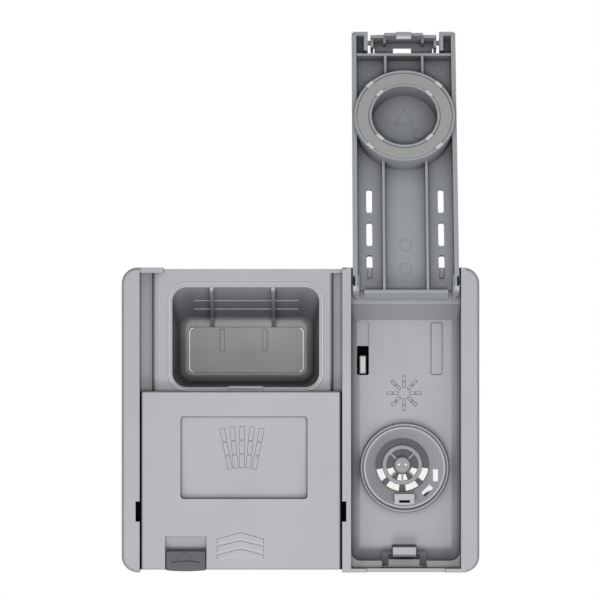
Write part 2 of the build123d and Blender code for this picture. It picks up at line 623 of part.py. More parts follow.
with BuildPart() as slide_cover:
    with BuildSketch(Plane.XY.offset(SKIRT_FOOT_Z)):
        with Locations((COVER_X, COVER_MID)):
            Rectangle(COVER_W, COVER_H)
    extrude(amount=FACE_Z - SKIRT_FOOT_Z)
    fillet(slide_cover.edges().filter_by(Axis.Z), 1.2)
    fillet(slide_cover.faces().sort_by(Axis.Z)[-1].edges(), 0.8)
    with BuildSketch(Plane.XY.offset(SKIRT_FOOT_Z)):
        with Locations((COVER_X, COVER_MID)):
            Rectangle(COVER_W - 2 * COVER_SKIRT_T, COVER_H - 2 * COVER_SKIRT_T)
    extrude(amount=COVER_BACK - SKIRT_FOOT_Z, mode=Mode.SUBTRACT)
    block((COVER_LEFT + COVER_SKIRT_T, -COVER_LEFT + 2 * COVER_X - COVER_SKIRT_T), (-FACE_H, FACE_H),
          (0, END_SKIRT_Z), mode=Mode.SUBTRACT)
    block((DISH_X - DISH_W / 2 - DISH_T, DISH_X + DISH_W / 2 + DISH_T),
          (DISH_Y - DISH_H / 2 - DISH_T, DISH_Y + DISH_H / 2 + DISH_T), (FACE_Z - DISH_DEPTH - DISH_T, COVER_BACK))
    add(dish_space.part, mode=Mode.SUBTRACT)
    # Runners in the side grooves
    for low, high in RUNNERS:
        block((COVER_LEFT - RUNNER_PROUD, COVER_LEFT + COVER_SKIRT_T), (low, high), RUNNER_Z)
        block((COVER_LEFT + COVER_W - COVER_SKIRT_T, COVER_LEFT + COVER_W + RUNNER_PROUD), (low, high), RUNNER_Z)
    # Pocket for the catch button, with a thumb scoop above it and a shelf for its spring
    block((CATCH_X - CATCH_BAY_W / 2 - 1.5, CATCH_X + CATCH_BAY_W / 2 + 1.5), (COVER_FOOT, SCOOP_TOP + 1.2),
          (SHELF_Z - SHELF_T, COVER_BACK))
    with BuildSketch(side_plane(CATCH_X - CATCH_BAY_W / 2)):
        with BuildLine():
            Polyline(
                (SCOOP_TOP, FACE_Z + PAST),
                (SCOOP_TOP, FACE_Z - 0.5),
                (CATCH_TOP + CATCH_GAP, FACE_Z - 3.0),
                (CATCH_TOP + CATCH_GAP, SHELF_Z),
                (COVER_FOOT - PAST, SHELF_Z),
                (COVER_FOOT - PAST, FACE_Z + PAST),
                close=True,
            )
        make_face()
    extrude(amount=CATCH_BAY_W, mode=Mode.SUBTRACT)
    finger_y = (CATCH_TOP - 2.6, CATCH_TOP - 0.4)
    block((CATCH_X - CATCH_BAY_W / 2 - 2.0, CATCH_X + CATCH_BAY_W / 2 + 2.0), (finger_y[0] - 0.4, finger_y[1] + 0.4),
          (SHELF_Z, COVER_BACK), mode=Mode.SUBTRACT)
    # Lug that the pawl holds when the cover is shut
    block(LUG_X, LUG_Y, (SKIRT_FOOT_Z, COVER_BACK))
    # Arm that the drive spring pulls, down in the right channel
    arm_y = (DRIVE_SPRING_FOOT + DRIVE_SPRING_L, DRIVE_SPRING_FOOT + DRIVE_SPRING_L + 2.2)
    block((DRIVE_SPRING_X - 1.2, DRIVE_SPRING_X + 1.2), arm_y, (CHANNEL_Z + 0.7, SKIRT_FOOT_Z + 2.0))
save(slide_cover.part, "slide_cover")

# Catch button: a pressed key with a finger each side under the cover
with BuildPart() as cover_catch:
    with BuildSketch(Plane.XY.offset(CATCH_SKIRT_Z)):
        with BuildLine():
            half = CATCH_W / 2
            Polyline((CATCH_X - half, CATCH_FOOT), (CATCH_X - half, CATCH_TOP), (CATCH_X + half, CATCH_TOP),
                     (CATCH_X + half, CATCH_FOOT))
            ThreePointArc((CATCH_X + half, CATCH_FOOT), (CATCH_X, CATCH_FOOT - 0.5), (CATCH_X - half, CATCH_FOOT))
        make_face()
    extrude(amount=FACE_Z + 0.2 - CATCH_SKIRT_Z)
    fillet(cover_catch.faces().sort_by(Axis.Z)[-1].edges(), 0.4)
    block((CATCH_X - half + 1.4, CATCH_X + half - 1.4), (CATCH_FOOT + 1.4, CATCH_TOP - 1.4),
          (CATCH_SKIRT_Z, FACE_Z - 1.4), mode=Mode.SUBTRACT)
    block((LUG_X[0], CATCH_X - half + 1.4), finger_y, (CATCH_SKIRT_Z + 0.2, COVER_BACK - 0.3))
    block((CATCH_X + half - 1.4, CATCH_X + half + 2.6), finger_y, (CATCH_SKIRT_Z + 0.2, COVER_BACK - 0.3))
save(cover_catch.part, "cover_catch")

catch_spring = coil_spring(
    Plane((CATCH_X, (CATCH_TOP + CATCH_FOOT) / 2, SHELF_Z + SPRING_WIRE / 2)), 2.0, SPRING_WIRE,
    FACE_Z - 1.4 - SHELF_Z - SPRING_WIRE, 3.5,
)
save(catch_spring, "catch_spring")

drive_spring = coil_spring(
    Plane(origin=(DRIVE_SPRING_X, DRIVE_SPRING_FOOT + 0.3, DRIVE_SPRING_Z), x_dir=(1, 0, 0), z_dir=(0, 1, 0)),
    DRIVE_SPRING_R, SPRING_WIRE, DRIVE_SPRING_L - 0.6, 12,
)
save(drive_spring, "drive_spring")


def ring_slot(inner, outer, start, size):
    """Adds to the open sketch the piece of a flat ring between two radii and two angles."""
    with BuildLine() as outline:
        outer_arc = CenterArc((0, 0), outer, start, size)
        inner_arc = CenterArc((0, 0), inner, start, size)
        Line(outer_arc @ 0, inner_arc @ 0)
        Line(outer_arc @ 1, inner_arc @ 1)
    make_face(outline.edges())


def lid_block(x, y, z, mode=Mode.ADD):
    """A block along the lid's own plane: x across, y from the pivot to the free end, z inwards."""
    block(x, y, z, mode, LID_PLANE)


def both_sides(low, high):
    """The same span across, on the right and on the left of the middle."""
    return ((low, high), (-high, -low))


# Rinse-aid lid: a ribbed tray on two hinge pins, with a ring that holds the filler seal
LID_AXIS = Axis(LID_PLANE.origin, LID_PLANE.z_dir)
half_lid = LID_W / 2
wall_in = half_lid - LID_SIDE_T
ring_plane = Plane(
    origin=LID_PLANE.from_local_coords((0, RING_Y, 0)), x_dir=LID_PLANE.x_dir, z_dir=LID_PLANE.z_dir
)
with BuildPart() as rinse_lid:
    with BuildSketch(LID_PLANE.offset(LID_SKIN_Z)):
        with Locations((0, (LID_L - LID_TAIL) / 2)):
            RectangleRounded(LID_W, LID_L + LID_TAIL, 2.2)
    extrude(amount=LID_T)
    outer_edges = rinse_lid.faces().sort_by(LID_AXIS)[0].edges()
    fillet(outer_edges, 0.7)

    # Side walls, rounded off round the hinge pins
    for side in (wall_in, -half_lid):
        wall_plane = Plane(
            origin=LID_PLANE.from_local_coords((side, 0, 0)), x_dir=LID_PLANE.y_dir, z_dir=(1, 0, 0)
        )
        with BuildSketch(wall_plane):
            with BuildLine():
                Polyline(
                    (1.5 - LID_TAIL, LID_FLOOR_Z - LID_T / 2),
                    (1.5 - LID_TAIL, LID_WALL_Z - 2.0),
                    (3.3 - LID_TAIL, LID_WALL_Z),
                    (LID_L - 2.0, LID_WALL_Z),
                    (LID_L, LID_WALL_Z - 2.0),
                    (LID_L, LID_FLOOR_Z - LID_T / 2),
                    close=True,
                )
            make_face()
        extrude(amount=LID_SIDE_T)

    # Tail wall between two flexing ears, and the walls at the corners of the free end
    lid_block((5.5 - half_lid, half_lid - 5.5), (-LID_TAIL, 1.6 - LID_TAIL), (LID_FLOOR_Z, LID_SKIN_Z + LID_TAIL_H))
    for span in both_sides(half_lid - 5.5, half_lid - 3.2):
        lid_block(span, (-LID_TAIL - PAST, -1.5), (LID_SKIN_Z - PAST, LID_FLOOR_Z + PAST), mode=Mode.SUBTRACT)
    for span in both_sides(half_lid - 3.2, half_lid - 1.0):
        lid_block(span, (1.5 - LID_TAIL, 4.0), (LID_FLOOR_Z, LID_WALL_Z - 1.5))
    for span in both_sides(LATCH_CUT_W / 2, half_lid - 0.8):
        lid_block(span, (LID_L - 2.2, LID_L - 0.2), (LID_FLOOR_Z, LID_WALL_Z - 0.4))

    # Ribs along and across
    for rib_x in (10.7, -10.7):
        lid_block((rib_x - LID_RIB_T / 2, rib_x + LID_RIB_T / 2), (0.5 - LID_TAIL, RING_Y), (LID_FLOOR_Z, LID_RIB_Z))
    for rib_x in (9.3, -9.3):
        lid_block((rib_x - LID_RIB_T / 2, rib_x + LID_RIB_T / 2), (RING_Y, LATCH_CUT_Y - 4.0), (LID_FLOOR_Z, LID_RIB_Z))
    lid_block((-wall_in, wall_in), (LATCH_CUT_Y - 4.2, LATCH_CUT_Y - 2.9), (LID_FLOOR_Z, LID_RIB_Z))

    # Ring for the seal: two round walls with short ribs between them and clips on top
    with BuildSketch(ring_plane.offset(LID_FLOOR_Z)):
        Circle(RING_R)
    extrude(amount=RING_H)
    with BuildSketch(ring_plane.offset(LID_FLOOR_Z)):
        Circle(RING_R - RING_WALL)
        Circle(RING_IN_R + RING_WALL, mode=Mode.SUBTRACT)
        Circle(RING_IN_R)
    extrude(amount=RING_H + PAST, mode=Mode.SUBTRACT)
    with BuildSketch(ring_plane.offset(LID_FLOOR_Z)):
        with PolarLocations((RING_R + RING_IN_R) / 2, 8, start_angle=22.5):
            Rectangle(RING_R - RING_IN_R - RING_WALL, 1.2)
    extrude(amount=SEAL_FOOT_Z - LID_FLOOR_Z)
    with BuildSketch(ring_plane.offset(RING_TOP_Z)):
        with PolarLocations(RING_R - 0.9, 4, start_angle=45):
            Rectangle(1.8, 4.4)
        with PolarLocations(RING_IN_R + 0.9, 4, start_angle=45):
            Rectangle(1.8, 4.4)
    extrude(amount=0.4)

    # Drain slots, the opening for the latch, and the brackets that its pins turn in
    with BuildSketch(LID_PLANE.offset(LID_SKIN_Z - PAST)):
        for slot_y in (10.8, 28.8, 47.0):
            with Locations((17.8, slot_y), (-17.8, slot_y)):
                RectangleRounded(2.9, 13.1, 1.0)
    extrude(amount=LID_T + 2 * PAST, mode=Mode.SUBTRACT)
    lid_block((-LATCH_CUT_W / 2, LATCH_CUT_W / 2), (LATCH_CUT_Y, LID_L + PAST), (LID_SKIN_Z - PAST, LID_FLOOR_Z + PAST),
              mode=Mode.SUBTRACT)
    for span in both_sides(LATCH_CUT_W / 2, LATCH_CUT_W / 2 + 2.0):
        lid_block(span, (LATCH_CUT_Y - 1.4, LID_L - 0.2), (LID_FLOOR_Z - 0.5, LID_WALL_Z - 0.4))

    # Bores for the hinge pins and the latch pins, and the hollows round the hinge pins
    with BuildSketch(side_plane(TROUGH_X - LID_W)):
        with Locations((PIVOT_Y, PIVOT_Z)):
            Circle(HINGE_PIN_R + HINGE_FIT)
    extrude(amount=2 * LID_W, mode=Mode.SUBTRACT)
    latch_bore_plane = Plane(
        origin=LID_PLANE.from_local_coords((-LATCH_CUT_W / 2 - 2.5, LATCH_PIVOT, LATCH_PIVOT_Z)),
        x_dir=LID_PLANE.y_dir, z_dir=(1, 0, 0),
    )
    with BuildSketch(latch_bore_plane):
        Circle(LATCH_PIN_R + HINGE_FIT)
    extrude(amount=LATCH_CUT_W + 5.0, mode=Mode.SUBTRACT)
    for span in both_sides(half_lid - 1.1, half_lid + PAST):
        lid_block(span, (-2.8, 2.8), (LID_FLOOR_Z, LID_WALL_Z + PAST), mode=Mode.SUBTRACT)
save(rinse_lid.part, "rinse_lid")

# Seal in the lid's ring
with BuildPart() as lid_seal:
    with BuildSketch(ring_plane.offset(SEAL_FOOT_Z)):
        Circle(RING_R - RING_WALL - 0.1)
        Circle(RING_IN_R + RING_WALL + 0.1, mode=Mode.SUBTRACT)
    extrude(amount=RING_TOP_Z - SEAL_FOOT_Z)
    fillet(lid_seal.faces().sort_by(LID_AXIS)[-1].edges(), 0.5)
save(lid_seal.part, "lid_seal")

# Latch at the free end of the lid: it turns on two pins, and its nose goes under the strike
half_latch = LATCH_W / 2
latch_end = LATCH_PIVOT + 2.7
latch_low = LID_SKIN_Z + 0.1
with BuildPart() as lid_latch:
    lid_block((-half_latch, half_latch), (LATCH_NOSE_Y, LID_L - 0.2), (latch_low, latch_low + 1.6))
    lid_block((-13.2, 13.2), (LID_L - 0.6, LID_L + 1.8), (latch_low, latch_low + 1.6))
    for leg in ((2.0 - half_latch, -5.2), (3.9, half_latch - 2.0)):
        lid_block(leg, (LATCH_CUT_Y + 1.2, LATCH_NOSE_Y + 0.5), (latch_low, latch_low + 1.6))
    for span in both_sides(half_latch - 1.4, half_latch):
        lid_block(span, (LATCH_CUT_Y + 1.4, latch_end), (latch_low, LATCH_PIVOT_Z + LATCH_PIN_R + 0.8))
    upright = (latch_end - 1.5, latch_end)
    lid_block((-half_latch, half_latch), upright, (latch_low, LID_WALL_Z - 1.0))
    lid_block((-9.8, 9.8), upright, (latch_low, LID_WALL_Z + 1.3))
    nose_plane = Plane(origin=LID_PLANE.from_local_coords((-3.8, 0, 0)), x_dir=LID_PLANE.y_dir, z_dir=(1, 0, 0))
    with BuildSketch(nose_plane):
        with BuildLine():
            Polyline(
                (latch_end, LID_WALL_Z),
                (latch_end, LID_WALL_Z + 2.3),
                (LATCH_NOSE_Y + 1.4, LID_WALL_Z + 2.3),
                (LATCH_NOSE_Y, LID_WALL_Z + 1.5),
                (LATCH_NOSE_Y, LID_WALL_Z + 0.8),
                (latch_end - 1.0, LID_WALL_Z + 0.8),
                (latch_end - 1.0, LID_WALL_Z),
                close=True,
            )
        make_face()
    extrude(amount=7.6)
    for rib_x in (-9.6, 9.6):
        lid_block((rib_x - 0.6, rib_x + 0.6), (LATCH_NOSE_Y, latch_end), (latch_low, LID_WALL_Z - 2.5))
    for side in (half_latch - 0.5, -half_latch - LATCH_GAP - 1.6):
        pin_plane = Plane(
            origin=LID_PLANE.from_local_coords((side, LATCH_PIVOT, LATCH_PIVOT_Z)),
            x_dir=LID_PLANE.y_dir, z_dir=(1, 0, 0),
        )
        with BuildSketch(pin_plane):
            Circle(LATCH_PIN_R)
        extrude(amount=LATCH_GAP + 2.1)
save(lid_latch.part, "lid_latch")

# Release lever: its pawl stands up through the channel floor and holds the shut cover
lever_angle = -77.5
with BuildPart() as release_lever:
    with BuildSketch(Plane.XY.offset(LEVER_FOOT)):
        SlotCenterPoint(((LEVER_X + PAWL_X) / 2, (LEVER_Y + PAWL_Y) / 2), (PAWL_X, PAWL_Y), 4.8)
        SlotCenterPoint(((LEVER_X + PLUNGER_PIN_X) / 2, (LEVER_Y + PLUNGER_Y) / 2), (PLUNGER_PIN_X, PLUNGER_Y), 5.8)
        with Locations((LEVER_X, LEVER_Y)):
            Circle(4.4)
            Circle(LEVER_PIN_R + PIN_FIT, mode=Mode.SUBTRACT)
        with Locations((PLUNGER_PIN_X, PLUNGER_Y)):
            SlotOverall(5.0, 3.0, rotation=lever_angle, mode=Mode.SUBTRACT)
    extrude(amount=LEVER_T)
    block((PAWL_X - PAWL_W / 2, PAWL_X + PAWL_W / 2), (PAWL_Y - PAWL_H / 2, PAWL_Y + PAWL_H / 2),
          (LEVER_FOOT, PANEL_Z + 2.0))
    chamfer(release_lever.faces().sort_by(Axis.Z)[-1].edges().sort_by(Axis.Y)[0], 1.0)
save(release_lever.part, "release_lever")

with BuildPart() as lever_pin:
    with BuildSketch(Plane.XY.offset(LEVER_FOOT - 1.6)):
        with Locations((LEVER_X, LEVER_Y)):
            Circle(2 * LEVER_PIN_R)
    extrude(amount=1.3)
    with BuildSketch(Plane.XY.offset(LEVER_FOOT - 1.0)):
        with Locations((LEVER_X, LEVER_Y)):
            Circle(LEVER_PIN_R)
    extrude(amount=PANEL_BACK - LEVER_FOOT + 0.8)
    fillet(lever_pin.faces().sort_by(Axis.Z)[0].edges(), 0.5)
save(lever_pin.part, "lever_pin")


def coil_plane(x):
    """A plane across the actuator's axis at x, centred on it: first axis Y, second Z."""
    return Plane(origin=(x, PLUNGER_Y, PLUNGER_Z), x_dir=(0, 1, 0), z_dir=(1, 0, 0))


# Actuator: a yoke under the panel, a coil in it, and a plunger that pulls the lever
coil_x = YOKE_X + YOKE_T + 0.25
with BuildPart() as actuator_frame:
    block((YOKE_X, YOKE_END), (PLUNGER_Y - COIL_R, PLUNGER_Y + COIL_R), (PANEL_BACK - YOKE_T, PANEL_BACK))
    for plate_x in (YOKE_X, YOKE_END - YOKE_T):
        block((plate_x, plate_x + YOKE_T), (PLUNGER_Y - COIL_R, PLUNGER_Y + COIL_R),
              (PLUNGER_Z - COIL_R + 1.0, PANEL_BACK))
    with BuildSketch(coil_plane(YOKE_X - PAST)):
        Circle(PLUNGER_R + 0.4)
    extrude(amount=YOKE_T + 2 * PAST, mode=Mode.SUBTRACT)
save(actuator_frame.part, "actuator_frame")

with BuildPart() as actuator_coil:
    for start, length, radius in ((0, 1.2, COIL_R), (1.2, COIL_L - 2.4, COIL_R - 0.8), (COIL_L - 1.2, 1.2, COIL_R)):
        with BuildSketch(coil_plane(coil_x + start)):
            Circle(radius)
        extrude(amount=length)
    block((coil_x + 5.0, coil_x + 21.0), (PLUNGER_Y - COIL_R - 2.6, PLUNGER_Y - COIL_R / 2),
          (PLUNGER_Z - 3.0, PLUNGER_Z + 3.0))
    with BuildSketch(coil_plane(coil_x - PAST)):
        Circle(PLUNGER_R + 0.08)
    extrude(amount=COIL_L - 3.0 + PAST, mode=Mode.SUBTRACT)
save(actuator_coil.part, "actuator_coil")

with BuildPart() as connector_terminals:
    for blade_x in (coil_x + 9.0, coil_x + 17.0):
        block((blade_x - 2.4, blade_x + 2.4), (PLUNGER_Y - COIL_R - 9.0, PLUNGER_Y - COIL_R - 2.6),
              (PLUNGER_Z - 0.4, PLUNGER_Z + 0.4))
save(connector_terminals.part, "connector_terminals")

collar_x = YOKE_X - 8.5
with BuildPart() as actuator_plunger:
    with BuildSketch(coil_plane(PLUNGER_PIN_X - 2.6)):
        Circle(PLUNGER_R)
    extrude(amount=coil_x + COIL_L - 6.0 - PLUNGER_PIN_X + 2.6)
    with BuildSketch(coil_plane(collar_x)):
        Circle(PLUNGER_R + 2.1)
    extrude(amount=1.0)
    with BuildSketch(Plane.XY.offset(PLUNGER_Z)):
        with Locations((PLUNGER_PIN_X, PLUNGER_Y)):
            Circle(1.2)
    extrude(amount=LEVER_TOP - 0.3 - PLUNGER_Z)
save(actuator_plunger.part, "actuator_plunger")

plunger_spring = coil_spring(
    Plane(origin=(collar_x + 1.4, PLUNGER_Y, PLUNGER_Z), x_dir=(0, 1, 0), z_dir=(1, 0, 0)),
    PLUNGER_R + 1.1, SPRING_WIRE, YOKE_X - collar_x - 1.8, 4,
)
save(plunger_spring, "plunger_spring")

# Rear cover: a box over the release works, with deep wells for its screws
with BuildPart() as rear_cover:
    with BuildSketch(Plane.XY.offset(REAR_BACK_Z)):
        with Locations((REAR_X, REAR_Y)):
            RectangleRounded(REAR_W, REAR_H, 4.0)
    extrude(amount=CHANNEL_BACK - REAR_BACK_Z)
    fillet(rear_cover.faces().sort_by(Axis.Z)[0].edges(), 1.6)
    with BuildSketch(Plane.XY.offset(REAR_BACK_Z + REAR_T)):
        with Locations((REAR_X, REAR_Y)):
            RectangleRounded(REAR_W - 2 * REAR_T, REAR_H - 2 * REAR_T, 4.0 - REAR_T)
    extrude(amount=CHANNEL_BACK - REAR_BACK_Z, mode=Mode.SUBTRACT)
    for screw_x, screw_y in REAR_SCREWS:
        with BuildSketch(Plane.XY.offset(REAR_BACK_Z + 0.4)):
            with Locations((screw_x, screw_y)):
                Circle(SCREW_HEAD_R + 1.9)
        extrude(amount=REAR_JOINT_Z - REAR_BACK_Z - 0.4)
        with BuildSketch(Plane.XY.offset(REAR_BACK_Z - PAST)):
            with Locations((screw_x, screw_y)):
                Circle(SCREW_HEAD_R + 0.5)
        extrude(amount=REAR_JOINT_Z - 2.0 - REAR_BACK_Z + PAST, mode=Mode.SUBTRACT)
        with BuildSketch(Plane.XY.offset(REAR_JOINT_Z - 2.0 - PAST)):
            with Locations((screw_x, screw_y)):
                Circle(SCREW_R + 0.3)
        extrude(amount=3 * PAST, mode=Mode.SUBTRACT)
    # Window for the connector, and vents beside it
    foot = REAR_Y - REAR_H / 2
    block((coil_x + 3.0, coil_x + 23.0), (foot - PAST, foot + REAR_T + PAST), (PLUNGER_Z - 5.0, PLUNGER_Z + 5.0),
          mode=Mode.SUBTRACT)
    for vent in range(4):
        vent_z = REAR_BACK_Z + 10.0 + 6.0 * vent
        block((REAR_X - 22.0, REAR_X + 22.0), (foot - PAST, foot + REAR_T + PAST), (vent_z, vent_z + 2.0),
              mode=Mode.SUBTRACT)
save(rear_cover.part, "rear_cover")


def screw_set(places, head_z, shank_top):
    """Round-headed screws that point up, one at each place, as one piece."""
    with BuildPart() as screws:
        with BuildSketch(Plane.XY.offset(head_z)):
            with Locations(*places):
                Circle(SCREW_HEAD_R)
                Rectangle(3.0, 0.8, mode=Mode.SUBTRACT)
                Rectangle(0.8, 3.0, mode=Mode.SUBTRACT)
        extrude(amount=-1.8)
        with BuildSketch(Plane.XY.offset(head_z - 0.8)):
            with Locations(*places):
                Circle(SCREW_R)
        extrude(amount=shank_top - head_z + 0.8)
    return screws.part


cover_screws = screw_set(REAR_SCREWS, REAR_JOINT_Z - 2.0, CHANNEL_BACK - 0.8)
save(cover_screws, "cover_screws")

# Rinse-aid tank under the trough
with BuildPart() as rinse_tank:
    with BuildSketch(side_plane(TANK_LEFT)) as tank_profile:
        with BuildLine():
            Polyline(
                (TANK_FOOT, TANK_ROOF),
                (TANK_TOP, TANK_ROOF),
                (TANK_TOP, -TANK_SHALLOW),
                (-4.0, -TANK_SHALLOW),
                (-10.0, -BACK_DEPTH),
                (TANK_FOOT + 4.0, -BACK_DEPTH),
                (TANK_FOOT, 4.0 - BACK_DEPTH),
                close=True,
            )
        make_face()
        fillet(tank_profile.vertices().sort_by(Axis.Y)[:5], 1.8)
    extrude(amount=TANK_W)
    fillet(rinse_tank.edges().filter_by(Axis.Z), 2.0)
    with BuildSketch(side_plane(TANK_LEFT + TANK_WALL)):
        add(tank_profile.sketch_local)
        offset(amount=-TANK_WALL, kind=Kind.INTERSECTION)
    extrude(amount=TANK_W - 2 * TANK_WALL, mode=Mode.SUBTRACT)
    with BuildSketch(Plane.XY.offset(TANK_ROOF - TANK_WALL - PAST)):
        with Locations((FILLER_X, FILLER_Y)):
            Circle(FILLER_R - FILLER_LIP - FILLER_LEDGE + 0.4)
    extrude(amount=TANK_WALL + 2 * PAST, mode=Mode.SUBTRACT)
    # Dosing well, with a hole for the valve stem in its floor
    well_x = (VALVE_X - VALVE_SLOT_W / 2 - 0.3, VALVE_X + VALVE_SLOT_W / 2 + 0.3)
    well_y = (VALVE_Y - VALVE_SLOT_H / 2 - 0.4, VALVE_Y + VALVE_SLOT_H / 2 + 0.4)
    block((well_x[0] - 1.4, well_x[1] + 1.4), (well_y[0] - 1.4, well_y[1] + 1.4), (WELL_FOOT - 1.4, TANK_ROOF))
    block(well_x, well_y, (WELL_FOOT, TANK_ROOF + PAST), mode=Mode.SUBTRACT)
    with BuildSketch(Plane.XY.offset(WELL_FOOT - 2 * PAST)):
        with Locations((VALVE_X, VALVE_STEM_Y)):
            Circle(1.5 + PIN_FIT)
    extrude(amount=3 * PAST, mode=Mode.SUBTRACT)
    # Rod for the level float, and the lugs for the screws
    with BuildSketch(Plane.XY.offset(TANK_FLOOR - 0.5)):
        with Locations((FLOAT_X, FLOAT_Y)):
            Circle(1.5)
    extrude(amount=0.5 + FLOAT_H + 16.0)
    for screw_x, screw_y in TANK_SCREWS:
        lug_y = (screw_y - 3.2, TANK_FOOT + 1.0) if screw_y < 0 else (TANK_TOP - 1.0, screw_y + 3.2)
        block((screw_x - 4.0, screw_x + 4.0), lug_y, (TANK_LUG_Z - 2.0, TANK_LUG_Z))
        with BuildSketch(Plane.XY.offset(TANK_LUG_Z - 2.0 - PAST)):
            with Locations((screw_x, screw_y)):
                Circle(SCREW_R + 0.3)
        extrude(amount=4 * PAST, mode=Mode.SUBTRACT)
save(rinse_tank.part, "rinse_tank")

tank_screws = screw_set(TANK_SCREWS, TANK_LUG_Z - 2.0, TROUGH_BACK - 1.0)
save(tank_screws, "tank_screws")

with BuildPart() as tank_seal:
    with BuildSketch(Plane.XY.offset(TANK_ROOF)):
        with Locations((FILLER_X, FILLER_Y)):
            Circle(FILLER_R + 0.3)
            Circle(FILLER_R - 2.7, mode=Mode.SUBTRACT)
    extrude(amount=TANK_SEAL_T)
save(tank_seal.part, "tank_seal")

with BuildPart() as level_float:
    with BuildSketch(Plane.XY.offset(TANK_FLOOR + 0.3)):
        with Locations((FLOAT_X, FLOAT_Y)):
            Circle(FLOAT_R)
            Circle(1.8, mode=Mode.SUBTRACT)
    extrude(amount=FLOAT_H)
    fillet(level_float.edges().filter_by(GeomType.CIRCLE).sort_by(SortBy.RADIUS)[-2:], 1.0)
save(level_float.part, "level_float")

with BuildPart() as level_sensor:
    block((TANK_RIGHT, TANK_RIGHT + 2.8), (FLOAT_Y - 5.0, FLOAT_Y + 5.0), (TANK_FLOOR + 2.0, TANK_FLOOR + 16.0))
    fillet(level_sensor.faces().sort_by(Axis.X)[-1].edges(), 0.8)
    for blade_y in (FLOAT_Y - 2.2, FLOAT_Y + 2.2):
        block((TANK_RIGHT + 1.0, TANK_RIGHT + 1.6), (blade_y - 1.4, blade_y + 1.4),
              (TANK_FLOOR + 15.0, TANK_FLOOR + 21.0))
save(level_sensor.part, "level_sensor")

# Dosing valve: a bar in the outlet slot, on a sprung stem through the well's floor
plate_foot = WELL_FOOT + 6.5
with BuildPart() as dosing_valve:
    bar_y = (VALVE_STEM_Y - VALVE_BAR_H / 2, VALVE_STEM_Y + VALVE_BAR_H / 2)
    block((VALVE_X - VALVE_BAR_W / 2, VALVE_X + VALVE_BAR_W / 2), bar_y, (plate_foot, TROUGH_Z - 1.0))
    fillet(dosing_valve.faces().sort_by(Axis.Z)[-1].edges(), 0.5)
    block((VALVE_X - 2.8, VALVE_X + 2.8), (bar_y[0] - 0.7, bar_y[1] + 1.0), (plate_foot, plate_foot + 1.5))
    with BuildSketch(Plane.XY.offset(WELL_FOOT - 4.5)):
        with Locations((VALVE_X, VALVE_STEM_Y)):
            Circle(2.4)
    extrude(amount=1.2)
    with BuildSketch(Plane.XY.offset(WELL_FOOT - 4.0)):
        with Locations((VALVE_X, VALVE_STEM_Y)):
            Circle(1.5)
    extrude(amount=plate_foot - WELL_FOOT + 4.2)
save(dosing_valve.part, "dosing_valve")

with BuildPart() as valve_seal:
    with BuildSketch(Plane.XY.offset(WELL_FOOT - 3.3)):
        with Locations((VALVE_X, VALVE_STEM_Y)):
            Circle(3.2)
            Circle(1.5 + PIN_FIT, mode=Mode.SUBTRACT)
    extrude(amount=1.6)
save(valve_seal.part, "valve_seal")

valve_spring = coil_spring(
    Plane((VALVE_X, VALVE_STEM_Y, WELL_FOOT + 0.35)), 2.3, SPRING_WIRE, plate_foot - WELL_FOOT - 0.7, 4,
)
save(valve_spring, "valve_spring")

# Filler bowl: a funnel that sits on the filler's ledge, off centre towards the grille
grille = (FILLER_X + GRILLE_X, FILLER_Y + GRILLE_Y)
with BuildPart() as filler_bowl:
    with BuildSketch(Plane.XY.offset(TROUGH_Z)):
        with Locations((FILLER_X, FILLER_Y)):
            Circle(FILLER_R - FILLER_LIP - 0.3)
    extrude(amount=1.9)
    with BuildSketch(Plane.XY.offset(TROUGH_Z + 0.2)):
        with Locations((FILLER_X, FILLER_Y)):
            Circle(FILLER_R - FILLER_LIP - FILLER_LEDGE - 0.4)
    with BuildSketch(Plane.XY.offset(STRAINER_TOP)):
        with Locations(grille):
            Circle(GRILLE_R + 1.5)
    loft()
with BuildPart() as funnel:
    with BuildSketch(Plane.XY.offset(TROUGH_Z + 2.0)):
        with Locations((FILLER_X, FILLER_Y)):
            Circle(FILLER_R - FILLER_LIP - 1.2)
    with BuildSketch(Plane.XY.offset(STRAINER_TOP)):
        with Locations(grille):
            Circle(GRILLE_R)
    loft()
with BuildPart() as bowl:
    add(filler_bowl.part)
    add(funnel.part, mode=Mode.SUBTRACT)
    tab = (FILLER_Y - 18.6, FILLER_Y - 13.0)
    block((FILLER_X - 5.0, FILLER_X + 5.0), tab, (TROUGH_Z, TROUGH_Z + 1.4))
    block((FILLER_X - 2.8, FILLER_X + 2.8), (tab[0] + 1.2, tab[0] + 2.5), (TROUGH_Z - 3.0, TROUGH_Z + 3.0),
          mode=Mode.SUBTRACT)
    with BuildSketch(Plane.XY.offset(STRAINER_TOP - PAST)):
        with Locations((FILLER_X + 15.4, FILLER_Y - 3.9)):
            Rectangle(2.5, 5.9)
        with Locations(Location((FILLER_X + 11.3, FILLER_Y - 11.4), (0, 0, 1), -45)):
            Rectangle(2.5, 5.9)
    extrude(amount=6.0, mode=Mode.SUBTRACT)
save(bowl.part, "filler_bowl")

# Strainer under the bowl, with drain windows on the foot side, and its pale rings on top
with BuildPart() as strainer:
    with BuildSketch(Plane.XY.offset(STRAINER_TOP - STRAINER_T)):
        with Locations(grille):
            Circle(STRAINER_R)
    extrude(amount=STRAINER_T)
    with BuildSketch(Plane(origin=(*grille, STRAINER_TOP - STRAINER_T - PAST))):
        for start, size in ((190, 28), (232, 30), (278, 30), (322, 30)):
            ring_slot(9.9, 13.0, start, size)
        for start, size in ((195, 33), (250, 40), (312, 33)):
            ring_slot(4.7, 7.8, start, size)
    extrude(amount=STRAINER_T + 2 * PAST, mode=Mode.SUBTRACT)
save(strainer.part, "strainer")

